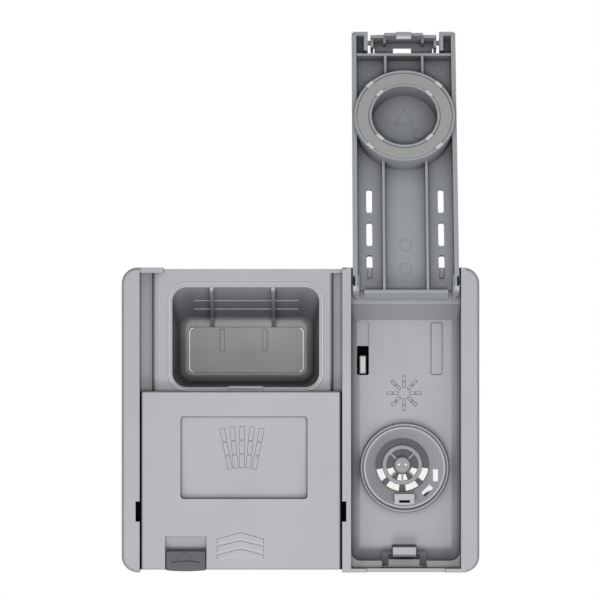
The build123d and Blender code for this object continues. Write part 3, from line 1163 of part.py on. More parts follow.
with BuildPart() as strainer_rings:
    with BuildSketch(Plane(origin=(*grille, STRAINER_TOP))):
        Circle(9.75)
        Circle(7.9, mode=Mode.SUBTRACT)
        Circle(4.5)
        for spoke in (45, 135, 225, 270, 315):
            with Locations(Location((0, 0, 0), (0, 0, 1), spoke)):
                with Locations((6.2, 0)):
                    Rectangle(4.6, 1.0)
    extrude(amount=0.8)
    with BuildSketch(Plane(origin=(*grille, STRAINER_TOP))):
        Circle(4.3)
    extrude(amount=1.8)
    fillet(strainer_rings.faces().sort_by(Axis.Z)[-1].edges(), 0.9)
    with BuildSketch(Plane(origin=(*grille, STRAINER_TOP + 0.8))):
        with Locations((-1.7, 0), (1.7, 0)):
            Circle(0.85)
    extrude(amount=2.0, mode=Mode.SUBTRACT)
save(strainer_rings.part, "strainer_rings")
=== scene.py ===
# %% [markdown]
# # A dishwasher's detergent dispenser
#
# The solids come from CAD with their true shapes and sizes. This script gives each one the
# look of its real material, draws the fine engraved signs, and lights it as it was
# photographed: face up on a white table, from straight above its tub.
#
# X runs to the right across the front, Y up towards the lid, and Z out of the front towards
# the camera. Signs and other small pieces are drawn in millimetres, which add_piece turns to
# Blender's metres. Sizes in a material, a light or the camera are in metres.

from math import cos, radians, sin

import bpy
import numpy as np
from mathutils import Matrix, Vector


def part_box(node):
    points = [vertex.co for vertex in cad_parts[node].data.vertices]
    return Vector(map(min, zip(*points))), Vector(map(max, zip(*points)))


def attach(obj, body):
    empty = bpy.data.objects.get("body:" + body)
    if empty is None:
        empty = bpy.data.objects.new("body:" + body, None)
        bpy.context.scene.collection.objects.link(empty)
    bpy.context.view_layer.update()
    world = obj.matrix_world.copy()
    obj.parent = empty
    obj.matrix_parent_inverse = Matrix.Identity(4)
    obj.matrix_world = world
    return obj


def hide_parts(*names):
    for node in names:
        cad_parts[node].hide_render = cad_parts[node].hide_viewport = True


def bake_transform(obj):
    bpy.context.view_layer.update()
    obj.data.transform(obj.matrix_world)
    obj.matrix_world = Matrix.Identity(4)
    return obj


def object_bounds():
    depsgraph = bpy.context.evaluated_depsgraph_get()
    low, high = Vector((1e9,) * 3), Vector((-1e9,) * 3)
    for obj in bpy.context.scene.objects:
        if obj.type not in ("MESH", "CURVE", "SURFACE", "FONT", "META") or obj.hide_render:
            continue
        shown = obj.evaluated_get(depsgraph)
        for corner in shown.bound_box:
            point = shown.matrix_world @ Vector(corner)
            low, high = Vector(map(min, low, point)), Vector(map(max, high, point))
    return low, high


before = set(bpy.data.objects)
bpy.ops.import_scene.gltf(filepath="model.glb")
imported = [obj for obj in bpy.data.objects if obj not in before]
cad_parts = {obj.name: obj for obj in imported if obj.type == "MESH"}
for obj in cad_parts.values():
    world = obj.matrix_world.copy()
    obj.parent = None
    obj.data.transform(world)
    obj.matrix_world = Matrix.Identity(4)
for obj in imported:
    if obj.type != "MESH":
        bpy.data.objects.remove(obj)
cad_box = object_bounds()
MM = 0.001
print("solids from CAD:", len(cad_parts))

# %% [markdown]
# ## Colours and shader nodes
#
# Colours are written as sRGB hex values, as a paint program shows them, and Blender wants them
# linear, so one function turns them. Another adds a node with its settings and its links.


# %% Small helpers for materials
def linear(hex_colour):
    """Turns an sRGB colour such as "B0B1B5" into the linear RGBA that Blender wants."""
    shares = [int(hex_colour[i:i + 2], 16) / 255 for i in (0, 2, 4)]
    rgb = [s / 12.92 if s <= 0.04045 else ((s + 0.055) / 1.055) ** 2.4 for s in shares]
    return (*rgb, 1.0)


def add_node(tree, kind, settings=None, in_order=(), **by_name):
    """Adds a shader node, whose inputs are given in their order or by name.

    An input that is a socket is linked, and any other is a value.
    """
    made = tree.nodes.new(kind)
    for key, value in (settings or {}).items():
        setattr(made, key, value)
    named = [(made.inputs[key.replace("_", " ")], value) for key, value in by_name.items()]
    for socket, value in [*zip(made.inputs, in_order), *named]:
        if isinstance(value, bpy.types.NodeSocket):
            tree.links.new(value, socket)
        else:
            socket.default_value = value
    return made


def new_material(name):
    """Returns an empty node material and its Principled node."""
    made = bpy.data.materials.new(name)
    made.use_nodes = True
    return made, made.node_tree.nodes["Principled BSDF"]


# %% [markdown]
# ## Moulded polypropylene
#
# The housing, cover and lid are polypropylene, moulded in a spark-eroded steel mould. That
# plastic is nearly one flat colour. What makes it look real is small: a satin sheen from the
# mould's fine grain, a little unevenness in that sheen, and edges that are never quite sharp,
# so they catch a thin line of light. The Bevel node rounds the look of the edges without
# changing the mesh, and the Ambient Occlusion node finds the deep recesses for painted shade.

# %% Satin moulded plastic
GRAIN_SCALE = 2600.0  # grains of about 0.4 mm, coarser than the real ones so that they show
CLOUD_SCALE = 24.0  # patches of about 40 mm
RECESS_REACH = 0.05  # how far away a wall still darkens a recess
RECESS_OPENNESS = (0.15, 0.84)  # shares of open sky at which the colour is darkest and plain
SHEEN_SPREAD = 0.05


def plastic(name, hex_colour, roughness=0.42, grain=9e-6, edge=2.5e-4, cloud=0.03, shade=0.12, gloss=0.42):
    """Satin moulded plastic, with a grain of that height and edges of that radius, in metres.

    The colour's brightness is a product of two ramps: 1 - cloud to 1 + cloud over the broad
    noise, and shade to 1 over the share of open sky. So a deep recess is darker: that is
    painted shade.
    """
    made, shader = new_material(name)
    tree = made.node_tree
    place = add_node(tree, "ShaderNodeTexCoord").outputs["Object"]
    fine = add_node(tree, "ShaderNodeTexNoise", Vector=place, Scale=GRAIN_SCALE, Detail=3.0)
    broad = add_node(tree, "ShaderNodeTexNoise", Vector=place, Scale=CLOUD_SCALE, Detail=4.0)
    tone = add_node(
        tree, "ShaderNodeMapRange", Value=broad.outputs["Fac"], To_Min=1 - cloud, To_Max=1 + cloud
    )
    # Painted shade: the colour darkens where a recess shuts out the open sky
    open_sky = add_node(
        tree, "ShaderNodeAmbientOcclusion", {"samples": 8}, Distance=RECESS_REACH
    ).outputs["AO"]
    depth = add_node(
        tree, "ShaderNodeMapRange", Value=open_sky,
        From_Min=RECESS_OPENNESS[0], From_Max=RECESS_OPENNESS[1], To_Min=shade, To_Max=1.0,
    )
    value = add_node(
        tree, "ShaderNodeMath", {"operation": "MULTIPLY"}, (tone.outputs["Result"], depth.outputs["Result"])
    )
    colour = add_node(
        tree, "ShaderNodeHueSaturation", Color=linear(hex_colour), Value=value.outputs["Value"]
    )
    sheen = add_node(
        tree, "ShaderNodeMapRange", Value=broad.outputs["Fac"],
        To_Min=roughness - SHEEN_SPREAD, To_Max=roughness + SHEEN_SPREAD,
    )
    soft = add_node(tree, "ShaderNodeBevel", {"samples": 6}, Radius=edge)
    bump = add_node(
        tree, "ShaderNodeBump", Height=fine.outputs["Fac"], Distance=grain, Normal=soft.outputs["Normal"]
    )
    tree.links.new(colour.outputs["Color"], shader.inputs["Base Color"])
    tree.links.new(sheen.outputs["Result"], shader.inputs["Roughness"])
    tree.links.new(bump.outputs["Normal"], shader.inputs["Normal"])
    shader.inputs["Specular IOR Level"].default_value = gloss
    return made


# %% Painted shade in the tub
TUB_RIGHT = 0.0105  # the tub and the cover's bay lie left of this X
TUB_SHADE_Z = (-0.012, 0.009)  # darkest below the first height, plain above the second
TUB_SHADE = 0.72


def paint_tub_shade(made):
    """Paints shade into the housing's colour inside the tub, which gets less light.

    The brightness is multiplied by a ramp over Z, from TUB_SHADE up to 1, or by 1 to the
    right of the tub, whichever is more.
    """
    tree = made.node_tree
    colour = next(node for node in tree.nodes if node.type == "HUE_SAT")
    before = colour.inputs["Value"].links[0].from_socket
    place = add_node(tree, "ShaderNodeTexCoord").outputs["Object"]
    axes = add_node(tree, "ShaderNodeSeparateXYZ", Vector=place)
    ramp = add_node(
        tree, "ShaderNodeMapRange", Value=axes.outputs["Z"],
        From_Min=TUB_SHADE_Z[0], From_Max=TUB_SHADE_Z[1], To_Min=TUB_SHADE, To_Max=1.0,
    )
    beside = add_node(
        tree, "ShaderNodeMath", {"operation": "GREATER_THAN"}, (axes.outputs["X"], TUB_RIGHT)
    )
    tone = add_node(
        tree, "ShaderNodeMath", {"operation": "MAXIMUM"}, (ramp.outputs["Result"], beside.outputs["Value"])
    )
    value = add_node(
        tree, "ShaderNodeMath", {"operation": "MULTIPLY"}, (before, tone.outputs["Value"])
    )
    tree.links.new(value.outputs["Value"], colour.inputs["Value"])


# %% [markdown]
# ## Rubber, natural plastic and metal
#
# The seals are moulded rubber: rougher and duller than the plastic round them, with a deeper
# grain. The rinse-aid tank is polypropylene with no pigment. It is milky, so what lies behind
# it shows only as light. The springs are drawn wire and the actuator's frame is rolled sheet,
# so both have fine lines along them.


# %% Materials that aren't pigmented plastic
def rubber(name, hex_colour):
    """Matte moulded rubber, as plastic with a rough grain and little gloss."""
    return plastic(name, hex_colour, roughness=0.72, grain=1.4e-5, edge=2e-4, cloud=0.02, gloss=0.3)


def cloudy_plastic(name, hex_colour):
    """Natural polypropylene: most light goes through it, and its low IOR keeps that plain."""
    made = plastic(name, hex_colour, roughness=0.4, grain=6e-6, cloud=0.01, shade=1.0)
    shader = made.node_tree.nodes["Principled BSDF"]
    shader.inputs["Transmission Weight"].default_value = 0.88
    shader.inputs["IOR"].default_value = 1.25
    return made


DRAWN_LINES = (900.0, 9000.0, 9000.0)  # marks of about 1.1 mm along X and 0.11 mm across it


def metal(name, hex_colour, roughness):
    """Bare metal with the fine lines of drawing or rolling, from noise that is stretched in X."""
    made, shader = new_material(name)
    tree = made.node_tree
    place = add_node(tree, "ShaderNodeTexCoord").outputs["Object"]
    drawn = add_node(tree, "ShaderNodeMapping", Vector=place, Scale=DRAWN_LINES)
    lines = add_node(tree, "ShaderNodeTexNoise", Vector=drawn.outputs["Vector"], Scale=1.0, Detail=2.0)
    soft = add_node(tree, "ShaderNodeBevel", {"samples": 4}, Radius=1.5e-4)
    bump = add_node(
        tree, "ShaderNodeBump", Height=lines.outputs["Fac"], Distance=4e-6, Normal=soft.outputs["Normal"]
    )
    tree.links.new(bump.outputs["Normal"], shader.inputs["Normal"])
    shader.inputs["Base Color"].default_value = linear(hex_colour)
    shader.inputs["Metallic"].default_value = 1.0
    shader.inputs["Roughness"].default_value = roughness
    return made


# %% [markdown]
# ## What each solid is made of
#
# The housing and the cover are one grey. The lid is the same grey, painted paler as painted
# light, and the catch and the strainer are the dark grey that marks what a hand touches. What
# isn't in the list is a spring or a pin, of spring steel.

# %% The finish of each solid
HOUSING_GREY = "929398"

# Polypropylene from a spark-eroded mould: a satin sheen that spreads every highlight
housing_plastic = plastic("satin_polypropylene_housing", HOUSING_GREY)
# Painted shade: the housing's colour is darker down in the tub
paint_tub_shade(housing_plastic)
cover_plastic = plastic("satin_polypropylene_cover", HOUSING_GREY)
# The lid's grey is painted paler than the housing's, as painted light
lid_plastic = plastic("satin_polypropylene_lid", "A6A9AE")
pale_plastic = plastic("satin_polypropylene_pale", "A0A2A6")
mid_plastic = plastic("satin_polypropylene_mid", "7B7E82")

# The same plastic in dark grey: it takes in most light, so it hardly shines
dark_plastic = plastic("satin_polypropylene_dark", "4B4D52", roughness=0.45, gloss=0.2)

# Moulded plastics that lie behind the front: black and dull, or pale with milder painted shade in its
# recesses
black_plastic = plastic("moulded_plastic_black", "17181A", roughness=0.45)
valve_plastic = plastic("moulded_plastic_valve", "B4B6B8", shade=0.6)

# Polypropylene with no pigment: milky white, and light comes through it
tank_plastic = cloudy_plastic("natural_polypropylene", "FBFBFA")

# Moulded seals: matte, with no clear highlight
seal_rubber = rubber("moulded_rubber_grey", "A4A6A6")

# Drawn wire is brightest, and rolled and plated sheet a little duller
spring_steel = metal("drawn_spring_steel", "B9BABD", 0.28)
zinc_steel = metal("zinc_plated_steel", "B4B6BA", 0.36)
tinned_brass = metal("tinned_brass", "C9B98A", 0.3)

FINISH = {
    "housing": housing_plastic,
    "door_gasket": seal_rubber,
    "slide_cover": cover_plastic,
    "cover_catch": dark_plastic,
    "rinse_lid": lid_plastic,
    "lid_seal": seal_rubber,
    "lid_latch": lid_plastic,
    "release_lever": pale_plastic,
    "actuator_frame": zinc_steel,
    "actuator_coil": black_plastic,
    "actuator_plunger": spring_steel,
    "connector_terminals": tinned_brass,
    "rear_cover": black_plastic,
    "cover_screws": zinc_steel,
    "rinse_tank": tank_plastic,
    "tank_screws": zinc_steel,
    "tank_seal": seal_rubber,
    "level_float": dark_plastic,
    "level_sensor": black_plastic,
    "dosing_valve": valve_plastic,
    "valve_seal": seal_rubber,
    "filler_bowl": pale_plastic,
    "strainer": dark_plastic,
    "strainer_rings": mid_plastic,
}
for node_name, cad_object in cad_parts.items():
    cad_object.data.materials.clear()
    cad_object.data.materials.append(FINISH.get(node_name, spring_steel))
print("finishes given:", len(FINISH), "and spring steel for the rest")

# %% [markdown]
# ## Engraved signs
#
# The signs are outlines, as a thin tool cuts them in the mould: a dark groove with a lit edge
# below it. They could be cut into the solids, but at a quarter of a millimetre that would
# give thousands of slivers. So each outline becomes a narrow ribbon that lies just over the
# surface with the groove's shade painted on it, and a second paler ribbon, a little lower and
# to the right, is a painted highlight on the edge that the light catches.

# %% Paints for the signs and shades
# Painted light for the signs: painted shade, dark and dull, down in a groove, and a painted highlight on an
# edge
groove_painted_shade = plastic("engraved_groove_shade", "3C3E43", roughness=0.7, edge=0.0, gloss=0.1)
ridge_painted_highlight = plastic("engraved_ridge_highlight", "B4B5B9", edge=0.0)
# Fainter painted shade for shallow marks, and near-black painted shade for deep gaps
soft_groove_painted_shade = plastic("soft_engraving_shade", "6E7176", roughness=0.7, edge=0.0, gloss=0.15)
deep_shade = plastic("deep_shade", "08090A", roughness=0.9, edge=0.0, gloss=0.02)
# A painted highlight for smooth round edges
edge_painted_highlight = plastic("edge_painted_highlight", "DADCDE", roughness=0.3, edge=0.0, shade=0.7)


# %% A piece from points, and a ribbon along an outline
def add_piece(name, points, faces, paint, body):
    """Makes a piece from points in millimetres and lists of their numbers, and rides it."""
    mesh = bpy.data.meshes.new(name)
    mesh.from_pydata((np.asarray(points) * MM).tolist(), [], faces)
    mesh.materials.append(paint)
    made = bpy.data.objects.new(name, mesh)
    bpy.context.scene.collection.objects.link(made)
    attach(made, body)
    print(f"{name}: {len(points)} points, {len(faces)} faces on {body}")


def stack(x, y, z):
    """An array of points from arrays or single values of x, y and z."""
    return np.stack(np.broadcast_arrays(x, y, z), axis=-1)


def ribbon(name, outlines, surface, width, paint, body, lift=0.02, shift=(0.0, 0.0), closed=True):
    """One mesh of narrow flat ribbons, each along an outline in millimetres.

    At each corner the two edge points lie on the line that halves the corner. The sum of the
    unit directions before and after it is 2 cos(half the turn) long, so width over that length
    is half the width over the cosine, and the ribbon keeps its width. surface turns flat x, y
    and a lift into points of the model.
    """
    points, faces, first = [], [], 0
    for outline in outlines:
        path = np.array(outline, float) + shift
        before = path - np.roll(path, 1, axis=0)
        after = np.roll(path, -1, axis=0) - path
        if not closed:
            before[0], after[-1] = after[0], before[-1]
        before /= np.linalg.norm(before, axis=1)[:, None]
        after /= np.linalg.norm(after, axis=1)[:, None]
        across = (before + after) @ [[0, 1], [-1, 0]]
        size = np.linalg.norm(across, axis=1)[:, None]
        reach = across / size * width / np.clip(size, 0.6, 2.0)
        x, y = np.concatenate([path + reach, path - reach]).T
        points.append(surface(x, y, lift))
        count = len(path)
        i = np.arange(count if closed else count - 1)
        j = (i + 1) % count
        faces += (first + np.stack([i, count + i, count + j, j], axis=1)).tolist()
        first += 2 * count
    add_piece(name, np.concatenate(points), faces, paint, body)


def engrave(name, outlines, surface, body, width=0.24, closed=True):
    """A ribbon of painted groove shade, and one of painted highlight on its lower edge."""
    ribbon(name + "_groove", outlines, surface, width, groove_painted_shade, body, closed=closed)
    ribbon(
        name + "_edge", outlines, surface, width * 0.7, ridge_painted_highlight, body,
        lift=0.012, shift=(0.2, -0.2), closed=closed,
    )


# %% Outlines of bars and circles
def bar(x, y, length, width, angle, corner=0.0):
    """The outline of a bar that is centred on (x, y) and lies along angle, in degrees.

    Each corner is a quarter circle round a point that is corner in from both edges, and the
    whole is then turned by angle. With no radius each corner is one point.
    """
    steps = 1 if corner == 0 else 4 if corner < 1 else 11
    turns = np.radians(90 * np.arange(4)[:, None] + np.linspace(0, 90, steps))
    signs = np.array([(1, 1), (-1, 1), (-1, -1), (1, -1)])
    middles = signs * (np.array([length, width]) / 2 - corner)
    points = middles[:, None] + corner * np.stack([np.cos(turns), np.sin(turns)], axis=-1)
    c, s = cos(radians(angle)), sin(radians(angle))
    return points.reshape(-1, 2) @ [[c, s], [-s, c]] + [x, y]


def circle(x, y, radius, count):
    """The outline of a circle round (x, y), as count points that are evenly apart."""
    turns = 2 * np.pi * np.arange(count) / count
    return np.stack([x + radius * np.cos(turns), y + radius * np.sin(turns)], axis=1)


def rays(x, y, angles, spans, width, corner=0.0):
    """Bars on lines that go out from (x, y) at angles: one bar for each span of distance."""
    outlines = []
    for angle in angles:
        for near, far in spans:
            middle = (near + far) / 2
            outlines.append(bar(
                x + middle * cos(radians(angle)), y + middle * sin(radians(angle)),
                far - near, width, angle, corner,
            ))
    return outlines


# %% [markdown]
# ## Signs on the powder cover
#
# The dish in the cover holds the pre-wash dose, and the sign in it is a spray of five rays.
# Three arrow heads below it point the way the cover is pushed shut, and the catch's button
# has a curved line and a small arrow head.

# %% The spray in the dish
FACE_Z = 16.0
DISH_HEAD_Y = 1.8
DISH_LENGTH = 40.6
DISH_HEAD_DEPTH = 1.4
DISH_FALL = 1.8
SPRAY_FOCUS = (-28.7, -54.3)
SPRAY_STEP = 5.55  # degrees from one ray to the next


def on_dish(x, y, lift):
    """Points over the dish's floor, whose depth grows in proportion to the way from its head."""
    share = (DISH_HEAD_Y - y) / DISH_LENGTH
    return stack(x, y, FACE_Z - DISH_HEAD_DEPTH - DISH_FALL * share + lift)


spray_angles = [90 - SPRAY_STEP * ray for ray in range(-2, 3)]
spray_spans = ((30.7, 37.1), (37.6, 43.9), (44.4, 51.0))
spray = rays(*SPRAY_FOCUS, spray_angles, spray_spans, 2.3, corner=0.35)
engrave("dish_spray", spray, on_dish, "cover")

# %% The arrows below the dish
ARROW_X = (-41.0, -29.45, -18.05)  # left end, tip and right end
ARROW_FEET_RISE = 2.6


def on_cover(x, y, lift):
    """Points over the flat top of the powder cover."""
    return stack(x, y, FACE_Z + lift)


heads, feet = [], []
for tip_y, end_y, foot_y in ((-55.4, -58.6, -61.05), (-59.4, -62.2, -65.2), (-63.5, -66.5, -68.6)):
    left, middle, right = ARROW_X
    heads.append([(left, foot_y), (left, end_y), (middle, tip_y), (right, end_y), (right, foot_y)])
    feet.append([(left, foot_y), (middle, foot_y + ARROW_FEET_RISE), (right, foot_y)])
engrave("cover_arrows", heads, on_cover, "cover", closed=False)
# The feet are a thin line of painted highlight
ribbon("cover_arrow_feet", feet, on_cover, 0.18, ridge_painted_highlight, "cover", closed=False)

# %% The marks on the catch's button
BUTTON_Z = 16.2


def on_button(x, y, lift):
    """Points over the top of the catch's button."""
    return stack(x, y, BUTTON_Z + lift)


# A parabola: across runs from -1 to 1, and the height is 1 less its square
across = np.linspace(-1, 1, 9)
curve = np.stack([-56.45 + 7.15 * across, -70.1 + 0.8 * (1 - across ** 2)], axis=1)
hint = [(-61.8, -68.7), (-56.8, -65.2), (-51.8, -68.7)]
# The button's curve and arrow head are drawn as painted shade
ribbon("button_curve", [curve], on_button, 0.34, deep_shade, "catch", closed=False)
ribbon("button_hint", [hint], on_button, 0.16, groove_painted_shade, "catch", closed=False)

# %% [markdown]
# ## The star over the filler
#
# Eight rays of two bars each, cut in the trough's floor, show where the rinse aid goes in.

# %% The star
TROUGH_Z = -1.0
STAR_MIDDLE = (51.35, 12.8)


def on_trough(x, y, lift):
    """Points over the flat floor of the trough."""
    return stack(x, y, TROUGH_Z + lift)


star = rays(*STAR_MIDDLE, range(0, 360, 45), ((2.8, 5.5), (5.9, 8.6)), 1.3)
engrave("filler_star", star, on_trough, "housing", width=0.26)

# %% [markdown]
# ## Fins and lines in the tub
#
# The tub's head wall leans back. Two fins stand up it, which keep a tablet off the wall, and
# two raised lines cross it to show the dose of powder, drawn as painted highlights. The rim of
# the tub's mouth and the ends of the pad on its floor are smooth and round, so each shines in
# a thin line, drawn as a painted highlight.

# %% The two fins
FIN_WIDTH = 1.9
FIN_X = {"left": -43.9, "right": -13.5}
FIN_SIDE = [(65.5, 9.6), (63.6, 9.6), (62.9, 8.8), (48.0, -20.9), (50.6, -20.9)]  # y and z


def prism(name, side, middle_x, width, paint, body):
    """A solid that carries one outline in the YZ plane along X, half the width each way."""
    count = len(side)
    y, z = np.tile(side, (2, 1)).T
    x = middle_x + width / 2 * np.repeat([-1, 1], count)
    i = np.arange(count)
    j = (i + 1) % count
    walls = np.stack([i, j, count + j, count + i], axis=1).tolist()
    ends = [i[::-1].tolist(), (count + i).tolist()]
    add_piece(name, stack(x, y, z), ends + walls, paint, body)


for side_name, fin_x in FIN_X.items():
    prism("tub_fin_" + side_name, FIN_SIDE, fin_x, FIN_WIDTH, housing_plastic, "housing")

# %% Painted highlights on the rim, pad ends and level lines
TUB_X = -27.0  # the middle of the tub
LIP_Z = 9.8
PAD_Z = -20.8
WALL_FOOT = (50.0, -21.2)  # y and z at the foot of the tub's head wall
WALL_HEAD = (65.8, 10.8)
LEVEL_HEIGHTS = (-3.5, -11.9)


def on_tub_lip(x, y, lift):
    """Points over the lip round the tub's mouth."""
    return stack(x, y, LIP_Z + lift)


def on_tub_pad(x, y, lift):
    """Points over the raised pad on the tub's floor."""
    return stack(x, y, PAD_Z + lift)


def on_tub_wall(x, height, lift):
    """Points over the leaning head wall: y grows with the height as a straight line does.

    The lift goes square to the wall, which is 0.9 of it towards the tub and 0.45 upwards.
    """
    lean = (WALL_HEAD[0] - WALL_FOOT[0]) / (WALL_HEAD[1] - WALL_FOOT[1])
    return stack(x, WALL_FOOT[0] + (height - WALL_FOOT[1]) * lean - 0.9 * lift, height + 0.45 * lift)


rim = bar(TUB_X, 40.9, 75.5, 52.7, 0, corner=8.4)
ribbon("tub_lip_edge", [rim], on_tub_lip, 0.22, edge_painted_highlight, "housing")

pad_end = np.array([(26.6, 45.0), (28.0, 44.3), (28.4, 43.2), (28.4, 25.0), (28.0, 23.8), (26.6, 23.1)])
pad_ends = [pad_end * (side, 1) + (TUB_X, 0) for side in (-1, 1)]
ribbon("tub_pad_edges", pad_ends, on_tub_pad, 0.3, edge_painted_highlight, "housing", closed=False)

levels = [bar(TUB_X, height, 51.5, 0.35, 0) for height in LEVEL_HEIGHTS]
ribbon("tub_level_lines", levels, on_tub_wall, 0.3, edge_painted_highlight, "housing", lift=0.06)

# %% [markdown]
# ## Mould marks on the lid
#
# The lid lies open, so its inner skin shows, with the faint marks that a mould leaves: a
# triangle in the ring, and the round marks of the ejector pins.

# %% The lid's inner skin and its marks
LID_LEAN = radians(24.5)
LID_PIVOT = (51.9, 66.1, 12.5)
LID_SKIN = -1.5  # the inner skin's height over the hinge, square to the lid
EJECTOR_MARKS = ((0.0, 9.9, 3.0), (0.0, 22.8, 3.0), (7.2, 84.1, 2.9), (-17.0, 121.0, 2.0), (17.0, 121.0, 2.0))


def on_lid(x, y, lift):
    """Points over the lid's inner skin: x across from its middle, y from the hinge.

    The open lid leans back, so y runs down by the sine of the lean, and the height over the
    skin tips forward by it.
    """
    up = LID_SKIN + lift
    return stack(
        LID_PIVOT[0] + x,
        LID_PIVOT[1] + y * cos(LID_LEAN) + up * sin(LID_LEAN),
        LID_PIVOT[2] - y * sin(LID_LEAN) + up * cos(LID_LEAN),
    )


triangle = [(4.4, 89.8), (0.3, 97.8), (-4.8, 89.8)]
# The triangle and the ejector marks are drawn as faint painted shade
ribbon("lid_triangle", [triangle], on_lid, 0.15, soft_groove_painted_shade, "lid")
marks = [circle(x, y, radius, 28) for x, y, radius in EJECTOR_MARKS]
ribbon("lid_mould_marks", marks, on_lid, 0.15, soft_groove_painted_shade, "lid")

# %% [markdown]
# ## Bright and dark spots
#
# The faces of the clips that hold the lid's seal shine, drawn as a painted highlight. The gaps
# beside the cover, the windows beside it and the slots are deep, and almost no light comes back
# out of them. A thin plate just inside each one gives it that look as painted shade.


# %% Flat plates
def plates(name, outlines, paint, body):
    """One mesh of flat plates, each given by the array of its corners."""
    ends = np.cumsum([len(outline) for outline in outlines])
    faces = [numbers.tolist() for numbers in np.split(np.arange(ends[-1]), ends[:-1])]
    add_piece(name, np.concatenate(outlines), faces, paint, body)


def flat(x, y, z):
    """The corners of a level rectangle over the spans x and y at height z."""
    return stack([x[0], x[1], x[1], x[0]], [y[0], y[0], y[1], y[1]], z)


# %% The clips' painted highlights
RING_Y = 89.0  # from the hinge to the middle of the seal's ring
RING_TOP = 10.1
CLIP_SIZE = (1.7, 4.2)
clip_painted_highlight = plastic("clip_painted_highlight", "D2D4D6", roughness=0.3, shade=0.8)

clips = []
for radius in (24.3, 17.3):
    for turn in (45, 135, 225, 315):
        clip_x, clip_y = radius * cos(radians(turn)), RING_Y + radius * sin(radians(turn))
        x, y = bar(clip_x, clip_y, *CLIP_SIZE, turn).T
        clips.append(on_lid(x, y, RING_TOP - LID_SKIN + 0.02))
plates("seal_clip_faces", clips, clip_painted_highlight, "lid")

# %% The dark gaps, windows and slots
GAP_SPAN = (-73.4, 13.9)
GAP_Z = 13.2
WINDOW_SPAN = (-49.9, -40.1)
WINDOW_Z = 12.7
SLOT_X, SLOT_TONGUE_X = (27.95, 33.85), (29.25, 32.55)
SLOT_Y, SLOT_TONGUE_Y = (21.85, 36.25), (22.4, 31.5)
SLOT_Z = -2.6
POCKET_X, POCKET_STRIKE_X = (40.4, 62.0), (43.6, 58.8)
POCKET_Y, POCKET_SILL_Y = (-72.5, -65.3), -66.7
POCKET_Z = 3.66

plates("cover_gap_shade", [
    flat((-79.05, -78.3), GAP_SPAN, GAP_Z),
    flat((19.7, 20.45), GAP_SPAN, GAP_Z),
], deep_shade, "cover")

# Painted shade in the windows beside the cover, four strips round the slot's tongue, and the filler's slit
plates("slot_shade", [
    flat((-81.05, -79.15), WINDOW_SPAN, WINDOW_Z),
    flat((20.55, 22.45), WINDOW_SPAN, WINDOW_Z),
    flat(SLOT_X, (SLOT_TONGUE_Y[1], SLOT_Y[1]), SLOT_Z),
    flat(SLOT_X, (SLOT_Y[0], SLOT_TONGUE_Y[0]), SLOT_Z),
    flat((SLOT_X[0], SLOT_TONGUE_X[0]), SLOT_TONGUE_Y, SLOT_Z),
    flat((SLOT_TONGUE_X[1], SLOT_X[1]), SLOT_TONGUE_Y, SLOT_Z),
    flat((48.8, 54.2), (-41.35, -40.15), -0.5),
], deep_shade, "housing")

# Painted shade in the pocket under the strike, on both sides of it and behind it
plates("pocket_shade", [
    flat((POCKET_X[0], POCKET_STRIKE_X[0]), POCKET_Y, POCKET_Z),
    flat((POCKET_STRIKE_X[1], POCKET_X[1]), POCKET_Y, POCKET_Z),
    flat(POCKET_STRIKE_X, (POCKET_SILL_Y, POCKET_Y[1]), POCKET_Z),
], soft_groove_painted_shade, "housing")

# %% Painted light in the strainer's two holes
HOLE_SPACING = 3.4
HOLE_RADIUS = 0.8
HOLE_DEPTH = 0.95  # below the top of the hub
# Pale discs just under the hub's top stand for light seen through its two holes: painted light
hole_painted_light = plastic("hole_painted_light", "E4E5E6", shade=0.7)

low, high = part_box("strainer_rings")
hub_x, hub_y = (low.x + high.x) / 2 / MM, (low.y + high.y) / 2 / MM
holes = []
for side in (-1, 1):
    x, y = circle(hub_x + side * HOLE_SPACING / 2, hub_y, HOLE_RADIUS, 16).T
    holes.append(stack(x, y, high.z / MM - HOLE_DEPTH))
plates("hub_holes", holes, hole_painted_light, "housing")

# %% [markdown]
# ## Copies of the springs
#
# A spring's two ends are on two bodies. Each spring here is swapped for a still copy of its
# solid, which is not blended between them.

# %% Four copies
X_AXIS, Y_AXIS, Z_AXIS = range(3)


def flex(node, axis, fixed_low):
    """Replaces a spring with a still copy of its solid, and hides the spring.

    The ends of the spring's box along axis are worked out, the low end first if fixed_low is set
    and else the high end, but nothing is made from them.
    """
    made = bpy.data.objects.new(node + "_flexing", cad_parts[node].data.copy())
    bpy.context.scene.collection.objects.link(made)
    low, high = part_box(node)
    middle = (low + high) / 2
    start, end = middle.copy(), middle.copy()
    start[axis], end[axis] = (low[axis], high[axis]) if fixed_low else (high[axis], low[axis])
    tuple(start)
    tuple(end)
    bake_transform(made)
    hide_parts(node)
    print(f"{node}: {(high - low)[axis] / MM:.1f} mm long at rest")


flex("drive_spring", Y_AXIS, True)
flex("catch_spring", Z_AXIS, True)
flex("plunger_spring", X_AXIS, False)
flex("valve_spring", Z_AXIS, True)

# %% [markdown]
# ## The white table
#
# The table shows as pure white to the camera, and to what mirrors it or lets it through, but
# for every other ray it is plain white paint, so it still takes the object's shadow and gives
# back no more light than paint does.

# %% Table
TABLE_HALF = 3.0
TABLE_Z = cad_box[0][2]
table_mesh = bpy.data.meshes.new("table")
table_mesh.from_pydata(
    flat((-TABLE_HALF, TABLE_HALF), (-TABLE_HALF, TABLE_HALF), TABLE_Z).tolist(), [], [(0, 1, 2, 3)]
)
table = bpy.data.objects.new("table", table_mesh)
bpy.context.scene.collection.objects.link(table)
paint, paint_shader = new_material("white_table")
paint_shader.inputs["Base Color"].default_value = (0.86, 0.86, 0.86, 1.0)
paint_shader.inputs["Roughness"].default_value = 0.8

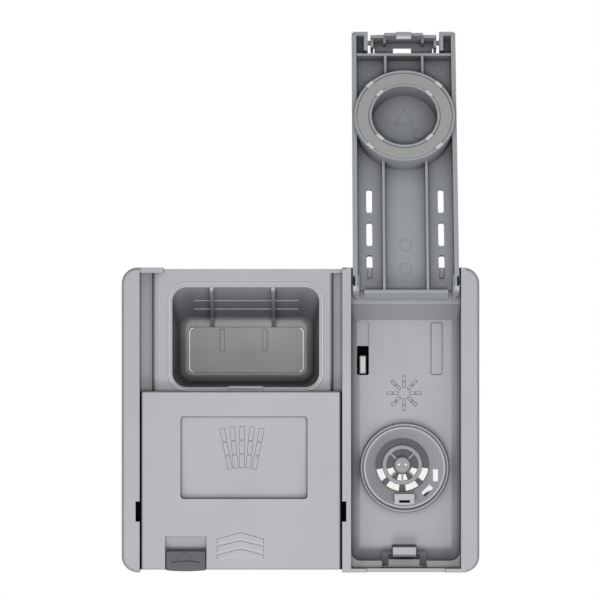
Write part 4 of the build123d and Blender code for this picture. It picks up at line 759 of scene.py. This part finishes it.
tree = paint.node_tree
ray = add_node(tree, "ShaderNodeLightPath").outputs
seen = add_node(
    tree, "ShaderNodeMath", {"operation": "MAXIMUM"}, (ray["Is Camera Ray"], ray["Is Glossy Ray"])
)
seen_or_through = add_node(
    tree, "ShaderNodeMath", {"operation": "MAXIMUM"}, (seen.outputs["Value"], ray["Is Transmission Ray"])
)
glow = add_node(tree, "ShaderNodeEmission", Color=(1.0, 1.0, 1.0, 1.0), Strength=1.0)
choice = add_node(
    tree, "ShaderNodeMixShader",
    in_order=(seen_or_through.outputs["Value"], paint_shader.outputs["BSDF"], glow.outputs["Emission"]),
)
tree.links.new(choice.outputs["Shader"], tree.nodes["Material Output"].inputs["Surface"])
table_mesh.materials.append(paint)
print(f"table at z = {TABLE_Z / MM:.1f} mm")

# %% [markdown]
# ## Light
#
# A large soft box hangs almost straight over the dispenser, and a weaker one stands low in
# front of it. So the faces are evenly lit, and the walls at the head of each recess catch a
# little light from below.

# %% World and soft boxes
world = bpy.data.worlds.new("studio")
bpy.context.scene.world = world
world.use_nodes = True
background = world.node_tree.nodes["Background"]
background.inputs["Color"].default_value = (0.96, 0.98, 1.0, 1.0)
background.inputs["Strength"].default_value = 0.08


def lamp(name, place, target, size, power):
    """A square soft box at place, in metres, that faces target."""
    light = bpy.data.lights.new(name, "AREA")
    light.shape = "SQUARE"
    light.size = size
    light.energy = power
    made = bpy.data.objects.new(name, light)
    bpy.context.scene.collection.objects.link(made)
    made.location = place
    aim = bpy.data.objects.new(name + "_aim", None)
    bpy.context.scene.collection.objects.link(aim)
    aim.location = target
    follow = made.constraints.new("TRACK_TO")
    follow.target = aim
    follow.track_axis = "TRACK_NEGATIVE_Z"
    follow.up_axis = "UP_Y"
    print(f"{name}: {power} W")


MIDDLE = (0.0, 0.05, 0.0)
lamp("low_light", (0.0, -0.9, 1.3), MIDDLE, 0.5, 10.5)
lamp("front_light", (0.0, -0.06, 1.9), MIDDLE, 0.6, 25.6)

# %% [markdown]
# ## Camera
#
# It looks straight down from 2.2 m with a long lens, so the walls of the tub and the trough
# hardly show.

# %% Camera
camera_data = bpy.data.cameras.new("camera")
camera_data.sensor_width = 36.0
camera_data.lens = 268.5
camera_data.clip_end = 20.0
camera = bpy.data.objects.new("camera", camera_data)
bpy.context.scene.collection.objects.link(camera)
camera.location = (-0.00025, 0.059, 2.216)
bpy.context.scene.camera = camera
bpy.context.scene.view_settings.view_transform = "Standard"
